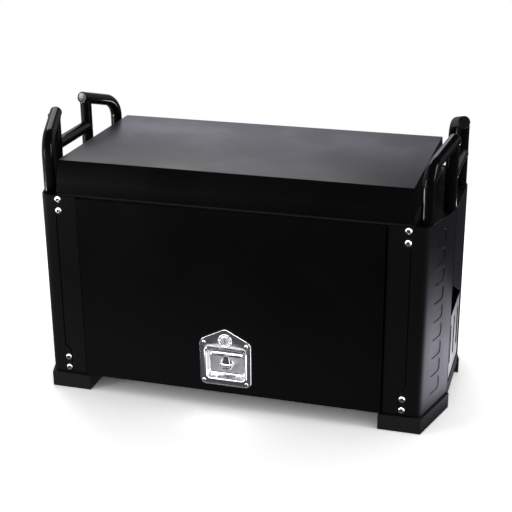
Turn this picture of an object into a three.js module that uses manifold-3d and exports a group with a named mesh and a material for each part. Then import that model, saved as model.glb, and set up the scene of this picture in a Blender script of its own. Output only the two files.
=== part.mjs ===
// Drawer tool box: a sheet steel cabinet with armoured corners, a hinged lid, a lift-off front cover and
// five drawers. Millimetres, +Z up, front towards -Y, origin on the floor under the middle of the box.
import * as THREE from "three";
import { mergeVertices } from "three/addons/utils/BufferGeometryUtils.js";
import Module from "manifold-3d";

const wasm = await Module();
wasm.setup();

// Driving sizes of the cabinet
const cabinetDepth = 420; // front plane of the corner posts to the rear one
const frontHalfWidth = 400; // middle to the vertical bend of a corner post
const sideBulge = 37; // how far the flat of a side stands out past those bends
const stripShare = 0.3; // slanted strip of a post, as a share of the cabinet's depth
const postTop = 438; // top edge of the corner posts over the floor
const footHeight = 33;
const lidHeight = 68; // lower edge of the lid to its top

// Sheet thicknesses and fits
const armourSheet = 2;
const cabinetSheet = 2;
const coverSheet = 1.5;
const drawerSheet = 1.5;
const seatGap = 0.3; // between pieces that touch
const slideGap = 0.3; // between runner and rail
const pivotGap = 0.3; // round a pin in its hole
const cutOverrun = 6; // how far a cutting solid reaches past what it cuts
const weldTolerance = 0.0001;

// Facet counts
const bendSteps = 4;
const cornerSteps = 2;
const tubeSides = 16;
const pinSides = 10;

// Tube of the side handles
const handleRadius = 12.7;
const handleWall = 2;

// Body in plan
const wallInset = 28; // cabinet walls inside the bends of the posts
const flangeWidth = 44; // front flange of the cabinet, from a wall to the opening
const plateLip = 4.5; // front plates of the posts past that flange
const returnDepth = 18; // folded edges of posts, side skins and flanges
const postBendRadius = 18;
const frontY = -cabinetDepth / 2;
const sideFlatDepth = cabinetDepth - 2 * stripShare * cabinetDepth;
const sideX = frontHalfWidth + sideBulge;
const stripEndY = -sideFlatDepth / 2;
const wallHalfWidth = frontHalfWidth - wallInset;
const wallInnerX = wallHalfWidth - cabinetSheet;
const openingHalfWidth = wallHalfWidth - flangeWidth;
const frameInnerX = openingHalfWidth - plateLip;
const shellFrontY = frontY + armourSheet + seatGap;

// Body in height
const postLift = 4; // the posts end over a shadow gap above the feet
const postBottom = footHeight + postLift;
const panBottom = footHeight + seatGap;
const panTop = panBottom + cabinetSheet;
const plateTop = postTop - cabinetSheet; // the plates under the side handles lie just below the posts' edge
const plateBottom = plateTop - cabinetSheet;
const shellBottom = panTop + seatGap;
const shellTop = plateTop;
const shellFloorTop = shellBottom + cabinetSheet;

// Front cover and what lies behind it
const coverSideGap = 3.5;
const coverTopDrop = 2; // below the posts' top edge
const coverStandOut = 5; // cover face in front of the posts
const coverReturn = 12;
const coverBackGap = 1;
const coverHalfWidth = frameInnerX - coverSideGap;
const coverBottom = postBottom;
const coverTop = postTop - coverTopDrop;
const coverFrontY = frontY - coverStandOut;
const coverBackY = coverFrontY + coverReturn;
const railFrontY = coverBackY + coverBackGap;
const railBackY = railFrontY + cabinetSheet;
const tongueInset = 120; // middle of a tongue from the cover's side
const tongueX = coverHalfWidth - tongueInset;
const tongueWidth = 40;
const tongueDrop = 11;
const tongueZ = coverTop - tongueDrop; // underside of the cover's tongues
const tongueThickness = 2.5;
const tongueReach = 12; // past the rail

// Latch near the middle of the cover, low down
const latchX = -5;
const latchRise = 17; // latch plate over the cover's lower edge
const dishRise = 15.7; // dish over the plate's lower edge
const dishHeight = 66.6;
const dishHalfWidth = 41;
const dishDepth = 15;
const dishSheet = 1.5;
const latchPlateSheet = 2;
const spindleRise = 29; // over the dish's lower edge
const spindleSquare = 9;
const lockRise = 21.1; // over the dish's upper edge
const lockBodyRadius = 11;
const plugRadius = 8;
const handlePivotDepth = 8.2; // pivot of the T handle in front of the dish's back
const latchLow = coverBottom + latchRise;
const dishBottom = latchLow + dishRise;
const dishTop = dishBottom + dishHeight;
const spindleZ = dishBottom + spindleRise;
const lockZ = dishTop + lockRise;
const latchPlateBackY = coverFrontY - seatGap;
const latchPlateFrontY = latchPlateBackY - latchPlateSheet;
const dishBackY = latchPlateFrontY + dishDepth;
const lockBodyEndY = dishBackY;
const handlePivotY = dishBackY - handlePivotDepth;
const camGap = 0.5; // cam tip over the strike's edge
const strikeRise = 15; // strike over the cover's lower edge
const strikeLip = 2; // strike over the front sill
const strikeTop = coverBottom + strikeRise;
const strikeFrontY = railBackY + seatGap;

// Top of the cabinet, lid and hinge
const rimWidth = 24;
const upstandRise = 12;
const hemRise = 3; // lid's lower edge over the posts
const hingeRise = 2.5; // hinge axis over the posts
const lidSetback = 8; // lid behind the posts' front plane and before the rear one
const lidSideInset = 5.5; // lid inside the cabinet walls
const hingeRadius = 3.5;
const hingePinRadius = 1.8;
const hingeSheet = 1.5;
const hingeKnuckles = 7;
const rimInnerX = wallHalfWidth - rimWidth;
const rimInnerY = -frontY - rimWidth;
const upstandTop = postTop + upstandRise;
const lidHalfWidth = wallHalfWidth - lidSideInset;
const lidDepth = cabinetDepth - 2 * lidSetback;
const lidHem = postTop + hemRise;
const lidTop = lidHem + lidHeight;
const hingeHalfLength = coverHalfWidth;
const hingeY = -shellFrontY + seatGap + hingeSheet;
const hingeZ = postTop + hingeRise;

// Drawers, lowest first
const drawerSideGap = 2;
const drawerBodyInset = 15; // drawer box inside its front
const drawerSetback = 32; // drawer fronts behind the posts' front plane
const drawerRearRoom = 38; // drawers to the posts' rear plane
const drawerFrontReturn = 12;
const strikeRoom = 4; // lowest drawer over the strike
const topRoom = 68; // highest drawer below the posts' top edge
const drawerGap = 3;
const drawerShares = [0.27, 0.225, 0.195, 0.155, 0.155];
const runnerHeight = 19.4;
const runnerReach = 12;
const runnerRise = 14; // underside of a runner over the drawer front's lower edge
const drawerTopRoom = 1.7;
const drawerHalfWidth = frameInnerX - drawerSideGap;
const drawerBodyHalfWidth = drawerHalfWidth - drawerBodyInset;
const drawerFrontY = frontY + drawerSetback;
const drawerDepth = cabinetDepth - drawerSetback - drawerRearRoom;
const drawerZoneBottom = strikeTop + strikeRoom;
const drawerZoneTop = postTop - topRoom;
const drawerGaps = (drawerShares.length - 1) * drawerGap;
const drawerHeightSum = drawerZoneTop - drawerZoneBottom - drawerGaps;
const drawerLevels = drawerShares.map((share, index) => {
  const sharesBelow = drawerShares.slice(0, index).reduce((sum, other) => sum + other, 0);
  const low = drawerZoneBottom + sharesBelow * drawerHeightSum + index * drawerGap;
  return { low, height: share * drawerHeightSum };
});

// Top compartment and gas struts
const railBottom = drawerZoneTop + drawerTopRoom;
const trayBottom = railBottom + cabinetSheet + seatGap;
const trayWallHeight = 30;
const strutInset = 38; // struts inside the cabinet walls
const strutHeadInset = 50; // upper stud before the posts' rear plane
const strutRun = 130; // lower stud in front of the upper one
const strutFootRise = 18; // lower stud over the tray's underside
const strutHeadDrop = 39; // upper stud below the lid's top
const strutRadius = 7.5;
const strutRodRadius = 4;
const strutEyeRadius = 7;
const strutEyeHalfWidth = 5;
const strutStudRadius = 4;
const strutX = wallHalfWidth - strutInset;
const strutHeadY = -frontY - strutHeadInset;
const strutFootY = strutHeadY - strutRun;
const strutFootZ = trayBottom + strutFootRise;
const strutHeadZ = lidTop - strutHeadDrop;

// Turns an outline or path given as arrays into vectors, and back
const vector = ([a, b, c = 0]) => new THREE.Vector3(a, b, c);
const flatPoint = (point) => [point.x, point.y, point.z];

// Rounds the corners of a polyline with arcs. A radius can be one value or a list with one for each point.
function rounded(points, radius, steps, closed = false) {
  const count = points.length;
  const result = [];
  points.forEach((point, index) => {
    const wanted = Array.isArray(radius) ? radius[index] : radius;
    const isEnd = !closed && (index === 0 || index === count - 1);
    if (isEnd || wanted === 0) {
      result.push(point);
      return;
    }
    const corner = vector(point);
    const arriving = corner.clone().sub(vector(points[(index + count - 1) % count]));
    const leaving = vector(points[(index + 1) % count]).sub(corner);
    const room = Math.min(arriving.length(), leaving.length()) / 2;
    arriving.normalize();
    leaving.normalize();
    const turn = arriving.angleTo(leaving);
    const tangent = Math.min(wanted * Math.tan(turn / 2), room);
    const arcRadius = tangent / Math.tan(turn / 2);
    const inward = leaving.clone().sub(arriving).normalize();
    const centre = corner.clone().addScaledVector(inward, Math.hypot(tangent, arcRadius));
    const start = corner.clone().addScaledVector(arriving, -tangent);
    const outward = start.sub(centre);
    for (let step = 0; step <= steps; step++) {
      const angle = (turn * step) / steps;
      const onArc = centre.clone().addScaledVector(outward, Math.cos(angle));
      result.push(flatPoint(onArc.addScaledVector(arriving, arcRadius * Math.sin(angle))));
    }
  });
  return result;
}

// The polyline moved to its left by a distance, with mitred corners
function offset(points, distance, closed = false) {
  const count = points.length;
  const leftOf = (from, to) => new THREE.Vector2(from[1] - to[1], to[0] - from[0]).normalize();
  return points.map((point, index) => {
    const hasBefore = closed || index > 0;
    const hasAfter = closed || index < count - 1;
    const before = points[(index + count - 1) % count];
    const after = points[(index + 1) % count];
    const first = hasBefore ? leftOf(before, point) : leftOf(point, after);
    const second = hasAfter ? leftOf(point, after) : first;
    const mitre = first.clone().add(second).multiplyScalar(distance / (1 + first.dot(second)));
    return [point[0] + mitre.x, point[1] + mitre.y];
  });
}

// Outline of a folded sheet: its outer line and the same line moved in by the thickness
const foldedSheet = (points, thickness) => [...points, ...offset(points, thickness).reverse()];

const rectangle = (left, right, low, high) => [[left, low], [right, low], [right, high], [left, high]];

// A rectangle with its corners cut at 45 degrees
const cutRectangle = (left, right, low, high, cut) => [
  [left + cut, low],
  [right - cut, low],
  [right, low + cut],
  [right, high - cut],
  [right - cut, high],
  [left + cut, high],
  [left, high - cut],
  [left, low + cut],
];

const circle = (a, b, radius, sides) =>
  Array.from({ length: sides }, (_, side) => {
    const angle = (2 * Math.PI * (side + 1 / 2)) / sides;
    return [a + radius * Math.cos(angle), b + radius * Math.sin(angle)];
  });

// An outline extruded along an axis: outlines are (y, z) for x, (x, z) for y and (x, y) for z
function prism(axis, outline, from, to, holes = []) {
  const shape = new THREE.Shape(outline.map(([a, b]) => new THREE.Vector2(a, b)));
  shape.holes = holes.map((hole) => new THREE.Path(hole.map(([a, b]) => new THREE.Vector2(a, b))));
  const geometry = new THREE.ExtrudeGeometry(shape, { depth: to - from, bevelEnabled: false });
  const x = new THREE.Vector3(1, 0, 0);
  const y = new THREE.Vector3(0, 1, 0);
  const z = new THREE.Vector3(0, 0, 1);
  if (axis === "x") {
    geometry.applyMatrix4(new THREE.Matrix4().makeBasis(y, z, x)).translate(from, 0, 0);
  } else if (axis === "y") {
    geometry.applyMatrix4(new THREE.Matrix4().makeBasis(x, z, y.negate())).translate(0, to, 0);
  } else {
    geometry.translate(0, 0, from);
  }
  return solid(geometry);
}

function block(left, right, front, back, low, high) {
  const geometry = new THREE.BoxGeometry(right - left, back - front, high - low);
  geometry.translate((left + right) / 2, (front + back) / 2, (low + high) / 2);
  return solid(geometry);
}

// A round bar along an axis at the given place across it
function bar(axis, a, b, radius, from, to, sides = pinSides) {
  return prism(axis, circle(a, b, radius, sides), from, to);
}

// The surface through a row of rings with equal counts: closed into a cycle, or with flat convex ends
function loft(rings, cyclic = false) {
  const size = rings[0].length;
  const corners = rings.flat().flatMap((point) => flatPoint(point));
  const faces = [];
  const bands = cyclic ? rings.length : rings.length - 1;
  for (let band = 0; band < bands; band++) {
    const here = band * size;
    const next = ((band + 1) % rings.length) * size;
    for (let side = 0; side < size; side++) {
      const other = (side + 1) % size;
      faces.push(here + side, here + other, next + other);
      faces.push(here + side, next + other, next + side);
    }
  }
  const last = (rings.length - 1) * size;
  for (let side = 1; side < size - 1 && !cyclic; side++) {
    faces.push(0, side + 1, side);
    faces.push(last, last + side, last + side + 1);
  }
  const geometry = new THREE.BufferGeometry();
  geometry.setAttribute("position", new THREE.Float32BufferAttribute(corners, 3));
  geometry.setIndex(faces);
  return solid(geometry);
}

// Rings of points square to a path that lies in one plane, mitred at its bends
function tubeRings(path, radius, planeNormal) {
  const points = path.map(vector);
  const last = points.length - 1;
  return points.map((point, index) => {
    const arriving = point.clone().sub(points[Math.max(index - 1, 0)]);
    const leaving = points[Math.min(index + 1, last)].clone().sub(point);
    const first = (index > 0 ? arriving : leaving).normalize();
    const second = (index < last ? leaving : arriving).normalize();
    const along = first.clone().add(second).normalize();
    const across = new THREE.Vector3().crossVectors(along, planeNormal);
    const stretch = 1 / along.dot(first);
    return Array.from({ length: tubeSides }, (_, side) => {
      const angle = (2 * Math.PI * side) / tubeSides;
      const ringPoint = point.clone().addScaledVector(planeNormal, radius * Math.cos(angle));
      return ringPoint.addScaledVector(across, radius * stretch * Math.sin(angle));
    });
  });
}

// An open tube, or a solid bar where no wall is given
function tube(path, radius, wall, planeNormal) {
  const outer = tubeRings(path, radius, planeNormal);
  if (wall === 0) return loft(outer);
  const inner = tubeRings(path, radius - wall, planeNormal).reverse();
  return loft([...outer, ...inner], true);
}

// Joins and cuts, by manifold-3d
function solid(geometry) {
  const plain = geometry.clone();
  plain.deleteAttribute("normal");
  plain.deleteAttribute("uv");
  const merged = mergeVertices(plain, weldTolerance);
  const mesh = new wasm.Mesh({
    numProp: 3,
    vertProperties: merged.attributes.position.array,
    triVerts: new Uint32Array(merged.index.array),
  });
  return new wasm.Manifold(mesh);
}

const join = (...solids) => solids.reduce((joined, next) => joined.add(next));
const cut = (body, ...tools) => tools.reduce((rest, tool) => rest.subtract(tool), body);

function geometryOf(body) {
  const mesh = body.getMesh();
  const corners = [];
  for (let index = 0; index < mesh.numVert; index++) {
    corners.push(...mesh.vertProperties.slice(index * mesh.numProp, index * mesh.numProp + 3));
  }
  const geometry = new THREE.BufferGeometry();
  geometry.setAttribute("position", new THREE.Float32BufferAttribute(corners, 3));
  geometry.setIndex([...mesh.triVerts]);
  geometry.computeVertexNormals();
  return geometry;
}

// Finishes: colour, roughness, metalness
const finishes = {
  blackPaint: [0x0c0c0d, 0.45, 0.1],
  blackRubber: [0x101010, 0.9, 0],
  blackPlastic: [0x111111, 0.6, 0],
  stainless: [0xc9cbce, 0.22, 1],
  zincPlate: [0x9ea2a6, 0.35, 1],
  aluminium: [0xb4b7ba, 0.4, 1],
};

const part = new THREE.Group();

function add(name, body, finish, group = part) {
  const [color, roughness, metalness] = finishes[finish];
  const material = new THREE.MeshStandardMaterial({ color, roughness, metalness, flatShading: true });
  const mesh = new THREE.Mesh(geometryOf(body), material);
  mesh.name = name;
  group.add(mesh);
  return mesh;
}

// Copies of a piece modelled on the right, or at the front right corner
const sides = [["left", -1], ["right", 1]];
const ends = [["front", 1], ["rear", -1]];

function addOnSides(name, body, finish) {
  for (const [side, x] of sides) add(`${name}_${side}`, body, finish).scale.set(x, 1, 1);
}

function addAtCorners(name, body, finish) {
  for (const [end, y] of ends) {
    for (const [side, x] of sides) add(`${name}_${end}_${side}`, body, finish).scale.set(x, y, 1);
  }
}

// Plan line of the right half of the body, outer face, from the front round to the rear
function sidePlan(startX) {
  const corners = [
    [startX, frontY],
    [frontHalfWidth, frontY],
    [sideX, stripEndY],
    [sideX, -stripEndY],
    [frontHalfWidth, -frontY],
    [startX, -frontY],
  ];
  return rounded(corners, [0, postBendRadius, 0, 0, postBendRadius, 0], bendSteps);
}

const mirrorPlan = (points) => points.map(([x, y]) => [-x, y]).reverse();

// Outline of a plate that lies inside the armour, over the whole body
function insidePlan() {
  const right = offset(sidePlan(0), armourSheet + seatGap);
  return [...right, ...mirrorPlan(right).slice(1, -1)];
}

// Bottom plate of the box, on the four feet, with two pressed stiffening channels underneath
function basePan() {
  const channelY = 60;
  const channelHalfTop = 26;
  const channelHalfBottom = 16;
  const channelDepth = 6;
  const channelEndInset = 38;
  const channelHalfLength = openingHalfWidth - channelEndInset;
  const frontRecess = 6; // behind the cabinet's front, out of sight under the cover
  const recessY = shellFrontY + frontRecess;
  const recess = rectangle(-openingHalfWidth, openingHalfWidth, frontY - cutOverrun, recessY);
  let pan = prism("z", insidePlan(), panBottom, panTop);
  pan = cut(pan, prism("z", recess, panBottom - cutOverrun, panTop + cutOverrun));
  const channel = [
    [-channelHalfTop, panBottom],
    [-channelHalfBottom, panBottom - channelDepth],
    [channelHalfBottom, panBottom - channelDepth],
    [channelHalfTop, panBottom],
  ];
  for (const y of [-channelY, channelY]) {
    const moved = foldedSheet(channel, cabinetSheet).map(([a, b]) => [a + y, b]);
    pan = join(pan, prism("x", moved, -channelHalfLength, channelHalfLength));
  }
  return pan;
}

// Moulded foot under a corner, standing out past the post all round, with a pocket underneath in front of
// the solid end that takes its bolts
function foot() {
  const lip = 4;
  const footWidth = 84.5; // along the front, up to the bend
  const footPastStrip = 2;
  const wall = 6;
  const roof = 6;
  const solidEnd = 28;
  const innerX = frontHalfWidth - footWidth;
  const rearY = stripEndY + footPastStrip;
  const path = [[innerX, frontY], [frontHalfWidth, frontY], [sideX, stripEndY], [sideX, rearY]];
  const outer = offset(path, -lip);
  const body = prism("z", [...outer, [innerX, rearY]], 0, footHeight);
  const stripX = (y) => frontHalfWidth + ((y - frontY) * sideBulge) / (stripEndY - frontY) - wall;
  const near = frontY + wall;
  const far = rearY - solidEnd;
  const pocket = [[innerX + wall, near], [stripX(near), near], [stripX(far), far], [innerX + wall, far]];
  return cut(body, prism("z", pocket, -cutOverrun, footHeight - roof));
}

// Corner armour: one folded sheet with a stepped slit in its front plate, a slanted side strip with a ladder
// of pressed bars, and a folded rear edge that the side skin lies against
function cornerPost() {
  const slitInset = 31.2; // slit from the bend
  const slitWidth = 2.5;
  const slitJog = 13.5;
  const slitTopDrop = 44.5;
  const slitJogRise = 50;
  const barCount = 9;
  const barsRise = 30;
  const barsDrop = 22;
  const barGap = 9;
  const barStart = 40; // along the strip from the bend
  const barEndInset = 46.3; // and from its other end
  const barDepth = 1;
  const barCorner = 6;
  const foldRadius = 1.5;
  const path = [
    [frameInnerX, frontY],
    [frontHalfWidth, frontY],
    [sideX, stripEndY],
    [sideX - returnDepth, stripEndY],
  ];
  const plan = rounded(path, [0, postBendRadius, foldRadius, 0], bendSteps);
  let post = prism("z", foldedSheet(plan, armourSheet), postBottom, postTop);
  const slitX = frontHalfWidth - slitInset;
  const jogZ = postBottom + slitJogRise;
  const slitLine = [
    [slitX, postTop - slitTopDrop],
    [slitX, jogZ + slitJog],
    [slitX - slitJog, jogZ],
    [slitX - slitJog, postBottom - cutOverrun],
  ];
  const slit = [...offset(slitLine, slitWidth / 2), ...offset(slitLine, -slitWidth / 2).reverse()];
  post = cut(post, prism("y", slit, frontY - cutOverrun, frontY + armourSheet + cutOverrun));
  const slant = Math.atan2(stripEndY - frontY, sideBulge);
  const barEnd = Math.hypot(stripEndY - frontY, sideBulge) - barEndInset;
  const barsBottom = postBottom + barsRise;
  const pitch = (postTop - barsDrop - barsBottom + barGap) / barCount;
  for (let index = 0; index < barCount; index++) {
    const low = barsBottom + index * pitch;
    const outline = cutRectangle(barStart, barEnd, low, low + pitch - barGap, barCorner);
    const press = prism("y", outline, -cutOverrun, barDepth).rotate([0, 0, (slant * 180) / Math.PI]);
    post = cut(post, press.translate([frontHalfWidth, frontY, 0]));
  }
  return cut(post, ...foldReliefs());
}

// Space that the bottom pan and the handle plate need through the folded edges beside the side skin
function foldReliefs() {
  const outline = insidePlan();
  return [
    prism("z", outline, panBottom - cutOverrun, panTop + seatGap),
    prism("z", outline, plateBottom - seatGap, postTop + cutOverrun),
  ];
}

// Flat of a side between two posts: a folded panel with a framed window and a sill that reaches down between
// the feet
const skinHalfDepth = sideFlatDepth / 2 - seatGap;
const windowRise = 14;
const windowHeight = 155;
const windowBottom = postBottom + windowRise;
const windowTop = windowBottom + windowHeight;

function sideSkin() {
  const skinOverlap = 9; // below the top of the feet
  const windowEdge = 4;
  const footRoom = 3.7;
  const skinBottom = footHeight - skinOverlap;
  const footClearY = skinHalfDepth - footRoom;
  const path = [
    [sideX - returnDepth, -skinHalfDepth],
    [sideX, -skinHalfDepth],
    [sideX, skinHalfDepth],
    [sideX - returnDepth, skinHalfDepth],
  ];
  let skin = prism("z", foldedSheet(path, armourSheet), skinBottom, postTop);
  const faceX = sideX - armourSheet;
  const innerHalf = skinHalfDepth - armourSheet;
  const windowHalf = innerHalf - windowEdge;
  const cutFar = sideX + cutOverrun;
  skin = cut(skin, block(faceX - cutOverrun, cutFar, -windowHalf, windowHalf, windowBottom, windowTop));
  for (const low of [windowBottom - armourSheet, windowTop]) {
    const shelfFar = faceX + armourSheet / 2;
    const shelf = block(sideX - returnDepth, shelfFar, -innerHalf, innerHalf, low, low + armourSheet);
    skin = join(skin, shelf);
  }
  for (const y of [-1, 1]) {
    const near = Math.min(y * footClearY, y * (skinHalfDepth + cutOverrun));
    const far = Math.max(y * footClearY, y * (skinHalfDepth + cutOverrun));
    skin = cut(skin, block(sideX - returnDepth - cutOverrun, cutFar, near, far, 0, panBottom));
  }
  return cut(skin, ...foldReliefs());
}

// Inner panel in the window of a side, between the two shelves of the skin, with upright slots
function ventPanel() {
  const slotRise = 37;
  const slotDrop = 34;
  const slotHalfWidth = 4;
  const slotSpacing = 51;
  const slotCount = 3;
  const panelBottom = windowBottom + seatGap;
  const panelTop = windowTop - seatGap;
  const slotBottom = windowBottom + slotRise;
  const slotTop = windowTop - slotDrop;
  const backX = sideX - armourSheet - seatGap - armourSheet;
  const half = skinHalfDepth - armourSheet - seatGap;
  const holes = Array.from({ length: slotCount }, (_, index) => {
    const y = (index - (slotCount - 1) / 2) * slotSpacing;
    return cutRectangle(y - slotHalfWidth, y + slotHalfWidth, slotBottom, slotTop, slotHalfWidth / 2);
  });
  return prism("x", rectangle(-half, half, panelBottom, panelTop), backX, backX + armourSheet, holes);
}

// Plate over the space between cabinet wall and armour, which carries the side handles
function handlePlate() {
  const outline = offset(sidePlan(wallHalfWidth + seatGap), armourSheet + seatGap);
  return prism("z", outline, plateBottom, plateTop);
}

// Side handle: a bent horn at each end, a stanchion that meets the horn from below, and a grip between the
// stanchions
const hornFootSideInset = 7.4; // inside the bend of the post
const hornFootInset = 29.7; // behind the posts' front plane
const hornCornerRise = 104.8; // over the posts
const hornEndSideInset = 13.6; // inside the flat of the side
const hornEndPast = 15.4; // past the start of that flat
const hornEndRise = 137;
const hornBendRadius = 46;
const hornBendSteps = 6;
const stanchionSideInset = 15.1;
const stanchionPast = 3.7;
const gripRise = 68.8;
const hornFootX = frontHalfWidth - hornFootSideInset;
const stanchionX = sideX - stanchionSideInset;
const stanchionY = stripEndY + stanchionPast;
const gripZ = postTop + gripRise;
const hornFoot = [hornFootX, frontY + hornFootInset, plateTop + seatGap];
const hornCorner = [hornFootX, frontY + hornFootInset, postTop + hornCornerRise];
const hornEnd = [sideX - hornEndSideInset, stripEndY + hornEndPast, postTop + hornEndRise];

const hornPlane = vector(hornEnd).sub(vector(hornCorner)).cross(new THREE.Vector3(0, 0, 1)).normalize();

function horn() {
  const path = rounded([hornFoot, hornCorner, hornEnd], hornBendRadius, hornBendSteps);
  return tube(path, handleRadius, handleWall, hornPlane);
}

function stanchion() {
  const share = (stanchionY - hornCorner[1]) / (hornEnd[1] - hornCorner[1]);
  const axisZ = hornCorner[2] + share * (hornEnd[2] - hornCorner[2]);
  const path = [[stanchionX, stanchionY, plateTop + seatGap], [stanchionX, stanchionY, axisZ]];
  const beyond = vector(hornEnd).add(vector(hornEnd).sub(vector(hornCorner)).setLength(handleRadius * 2));
  const above = tube([hornCorner, flatPoint(beyond)], handleRadius + seatGap, 0, hornPlane);
  return cut(tube(path, handleRadius, handleWall, new THREE.Vector3(1, 0, 0)), above);
}

function grip() {
  const path = [[stanchionX, stanchionY, gripZ], [stanchionX, -stanchionY, gripZ]];
  const body = tube(path, handleRadius, handleWall, new THREE.Vector3(1, 0, 0));
  const postAt = (y) => {
    const line = [[stanchionX, y, plateTop], [stanchionX, y, hornCorner[2]]];
    return tube(line, handleRadius + seatGap, 0, new THREE.Vector3(1, 0, 0));
  };
  return cut(body, postAt(stanchionY), postAt(-stanchionY));
}

// Plug in the open end of a horn
function endCap() {
  const plugLength = 12;
  const rim = 2;
  const crown = 1;
  const plugRadiusInTube = handleRadius - handleWall - seatGap;
  const profile = [
    [0, -plugLength],
    [plugRadiusInTube, -plugLength],
    [plugRadiusInTube, seatGap],
    [handleRadius, seatGap],
    [handleRadius, rim],
    [handleRadius - crown, rim + crown],
    [0, rim + crown],
  ];
  const along = vector(hornEnd).sub(vector(hornCorner)).normalize();
  const turn = new THREE.Matrix4().makeBasis(hornPlane, along.clone().cross(hornPlane), along);
  turn.setPosition(vector(hornEnd));
  const points = profile.map(([radius, height]) => new THREE.Vector2(radius, height));
  const quarterTurn = Math.PI / 2;
  return solid(new THREE.LatheGeometry(points, tubeSides).rotateX(quarterTurn).applyMatrix4(turn));
}

// Cabinet body: walls and front flanges folded from one sheet, with a floor, a front sill, a slotted front
// rail and a rim with an upstand that keeps rain out under the lid
function cabinetShell() {
  const railLip = 20;
  const slotRoom = seatGap;
  const frontEdge = [
    [openingHalfWidth, shellFrontY + returnDepth],
    [openingHalfWidth, shellFrontY],
    [wallHalfWidth, shellFrontY],
    [wallHalfWidth, -shellFrontY],
  ];
  const path = [...frontEdge, ...mirrorPlan(frontEdge)];
  const wrap = prism("z", foldedSheet(path, cabinetSheet), shellBottom, shellTop);
  const inset = cabinetSheet / 2;
  const wallX = wallHalfWidth - inset;
  const wallY = -shellFrontY - inset;
  const flangeY = shellFrontY + inset;
  const plate = [
    [-wallX, flangeY],
    [-openingHalfWidth - inset, flangeY],
    [-openingHalfWidth - inset, railFrontY],
    [openingHalfWidth + inset, railFrontY],
    [openingHalfWidth + inset, flangeY],
    [wallX, flangeY],
    [wallX, wallY],
    [-wallX, wallY],
  ];
  const hole = rectangle(-rimInnerX, rimInnerX, -rimInnerY, rimInnerY);
  const outerRim = offset(hole, -cabinetSheet, true);
  const railHalf = openingHalfWidth + inset;
  let rail = block(-railHalf, railHalf, railFrontY, railBackY, railBottom, shellTop - inset);
  for (const x of [-tongueX, tongueX]) {
    const slotHalf = tongueWidth / 2 + slotRoom;
    const low = tongueZ - slotRoom;
    const high = tongueZ + tongueThickness + slotRoom;
    const near = railFrontY - cutOverrun;
    const slot = block(x - slotHalf, x + slotHalf, near, railBackY + cutOverrun, low, high);
    rail = cut(rail, slot);
  }
  const lipTop = railBottom + cabinetSheet;
  const lip = block(-railHalf, railHalf, railFrontY, railFrontY + railLip, railBottom, lipTop);
  const sill = block(-railHalf, railHalf, railFrontY, railBackY, shellBottom, strikeTop - strikeLip);
  return join(
    wrap,
    prism("z", plate, shellBottom, shellFloorTop),
    prism("z", plate, plateBottom, shellTop, [hole]),
    prism("z", outerRim, plateBottom, upstandTop, [hole]),
    rail,
    lip,
    sill,
  );
}

// Open tray under the lid, resting on the front rail's lip and on the drawer racks, with the studs of the
// gas struts
function topTray() {
  const studHead = 2.5;
  const studHeadRadius = 6;
  const bracketThickness = 5;
  const bracketHalf = 14;
  const bracketDrop = 12; // below the stud
  const bracketRise = 11;
  const bracketBottom = strutFootZ - bracketDrop;
  const bracketTop = strutFootZ + bracketRise;
  const halfWidth = wallInnerX - seatGap;
  const front = shellFrontY + returnDepth + seatGap;
  const back = -shellFrontY - cabinetSheet - seatGap;
  const outer = block(-halfWidth, halfWidth, front, back, trayBottom, trayBottom + trayWallHeight);
  const inner = block(
    -halfWidth + cabinetSheet,
    halfWidth - cabinetSheet,
    front + cabinetSheet,
    back - cabinetSheet,
    trayBottom + cabinetSheet,
    trayBottom + trayWallHeight + cutOverrun,
  );
  let tray = cut(outer, inner);
  const wallFace = halfWidth - cabinetSheet;
  const eyeFar = strutX - strutEyeHalfWidth - seatGap;
  for (const side of [-1, 1]) {
    const along = (near, far) => (side > 0 ? [near, far] : [-far, -near]);
    const [plateFrom, plateTo] = along(wallFace - bracketThickness, wallFace + cabinetSheet / 2);
    const plate = block(
      plateFrom,
      plateTo,
      strutFootY - bracketHalf,
      strutFootY + bracketHalf,
      bracketBottom,
      bracketTop,
    );
    const stud = bar("x", strutFootY, strutFootZ, strutStudRadius, ...along(eyeFar - studHead, wallFace));
    const head = bar("x", strutFootY, strutFootZ, studHeadRadius, ...along(eyeFar - studHead, eyeFar));
    tray = join(tray, plate, stud, head);
  }
  return tray;
}

// Rack on a cabinet wall: two folded uprights with one C rail for each drawer
function slideRack() {
  const uprightFlange = 16;
  const uprightInset = 60; // uprights behind the posts' front plane
  const uprightFrontY = frontY + uprightInset;
  const railFar = drawerHalfWidth; // back of a C rail
  const railSheet = 1.5;
  const railFront = drawerBodyHalfWidth + slideGap * 2;
  const railStartY = drawerFrontY + drawerFrontReturn + slideGap * 2;
  const railEndY = drawerFrontY + drawerDepth;
  const wallFace = wallInnerX - seatGap;
  const rackBottom = shellFloorTop + seatGap;
  const rackTop = trayBottom - seatGap;
  const upright = (y, step) => {
    const path = [
      [railFar, y - step * uprightFlange],
      [railFar, y],
      [wallFace, y],
      [wallFace, y - step * uprightFlange],
    ];
    return prism("z", foldedSheet(path, -step * cabinetSheet), rackBottom, rackTop);
  };
  const pieces = [upright(uprightFrontY, 1), upright(-uprightFrontY, -1)];
  for (const { low } of drawerLevels) {
    const inLow = low + runnerRise - slideGap;
    const inHigh = low + runnerRise + runnerHeight + slideGap;
    const outline = [
      [railFront, inLow - railSheet],
      [railFar + railSheet / 2, inLow - railSheet],
      [railFar + railSheet / 2, inHigh + railSheet],
      [railFront, inHigh + railSheet],
      [railFront, inHigh],
      [railFar - railSheet, inHigh],
      [railFar - railSheet, inLow],
      [railFront, inLow],
    ];
    pieces.push(prism("y", outline, railStartY, railEndY));
  }
  return join(...pieces);
}

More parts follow.
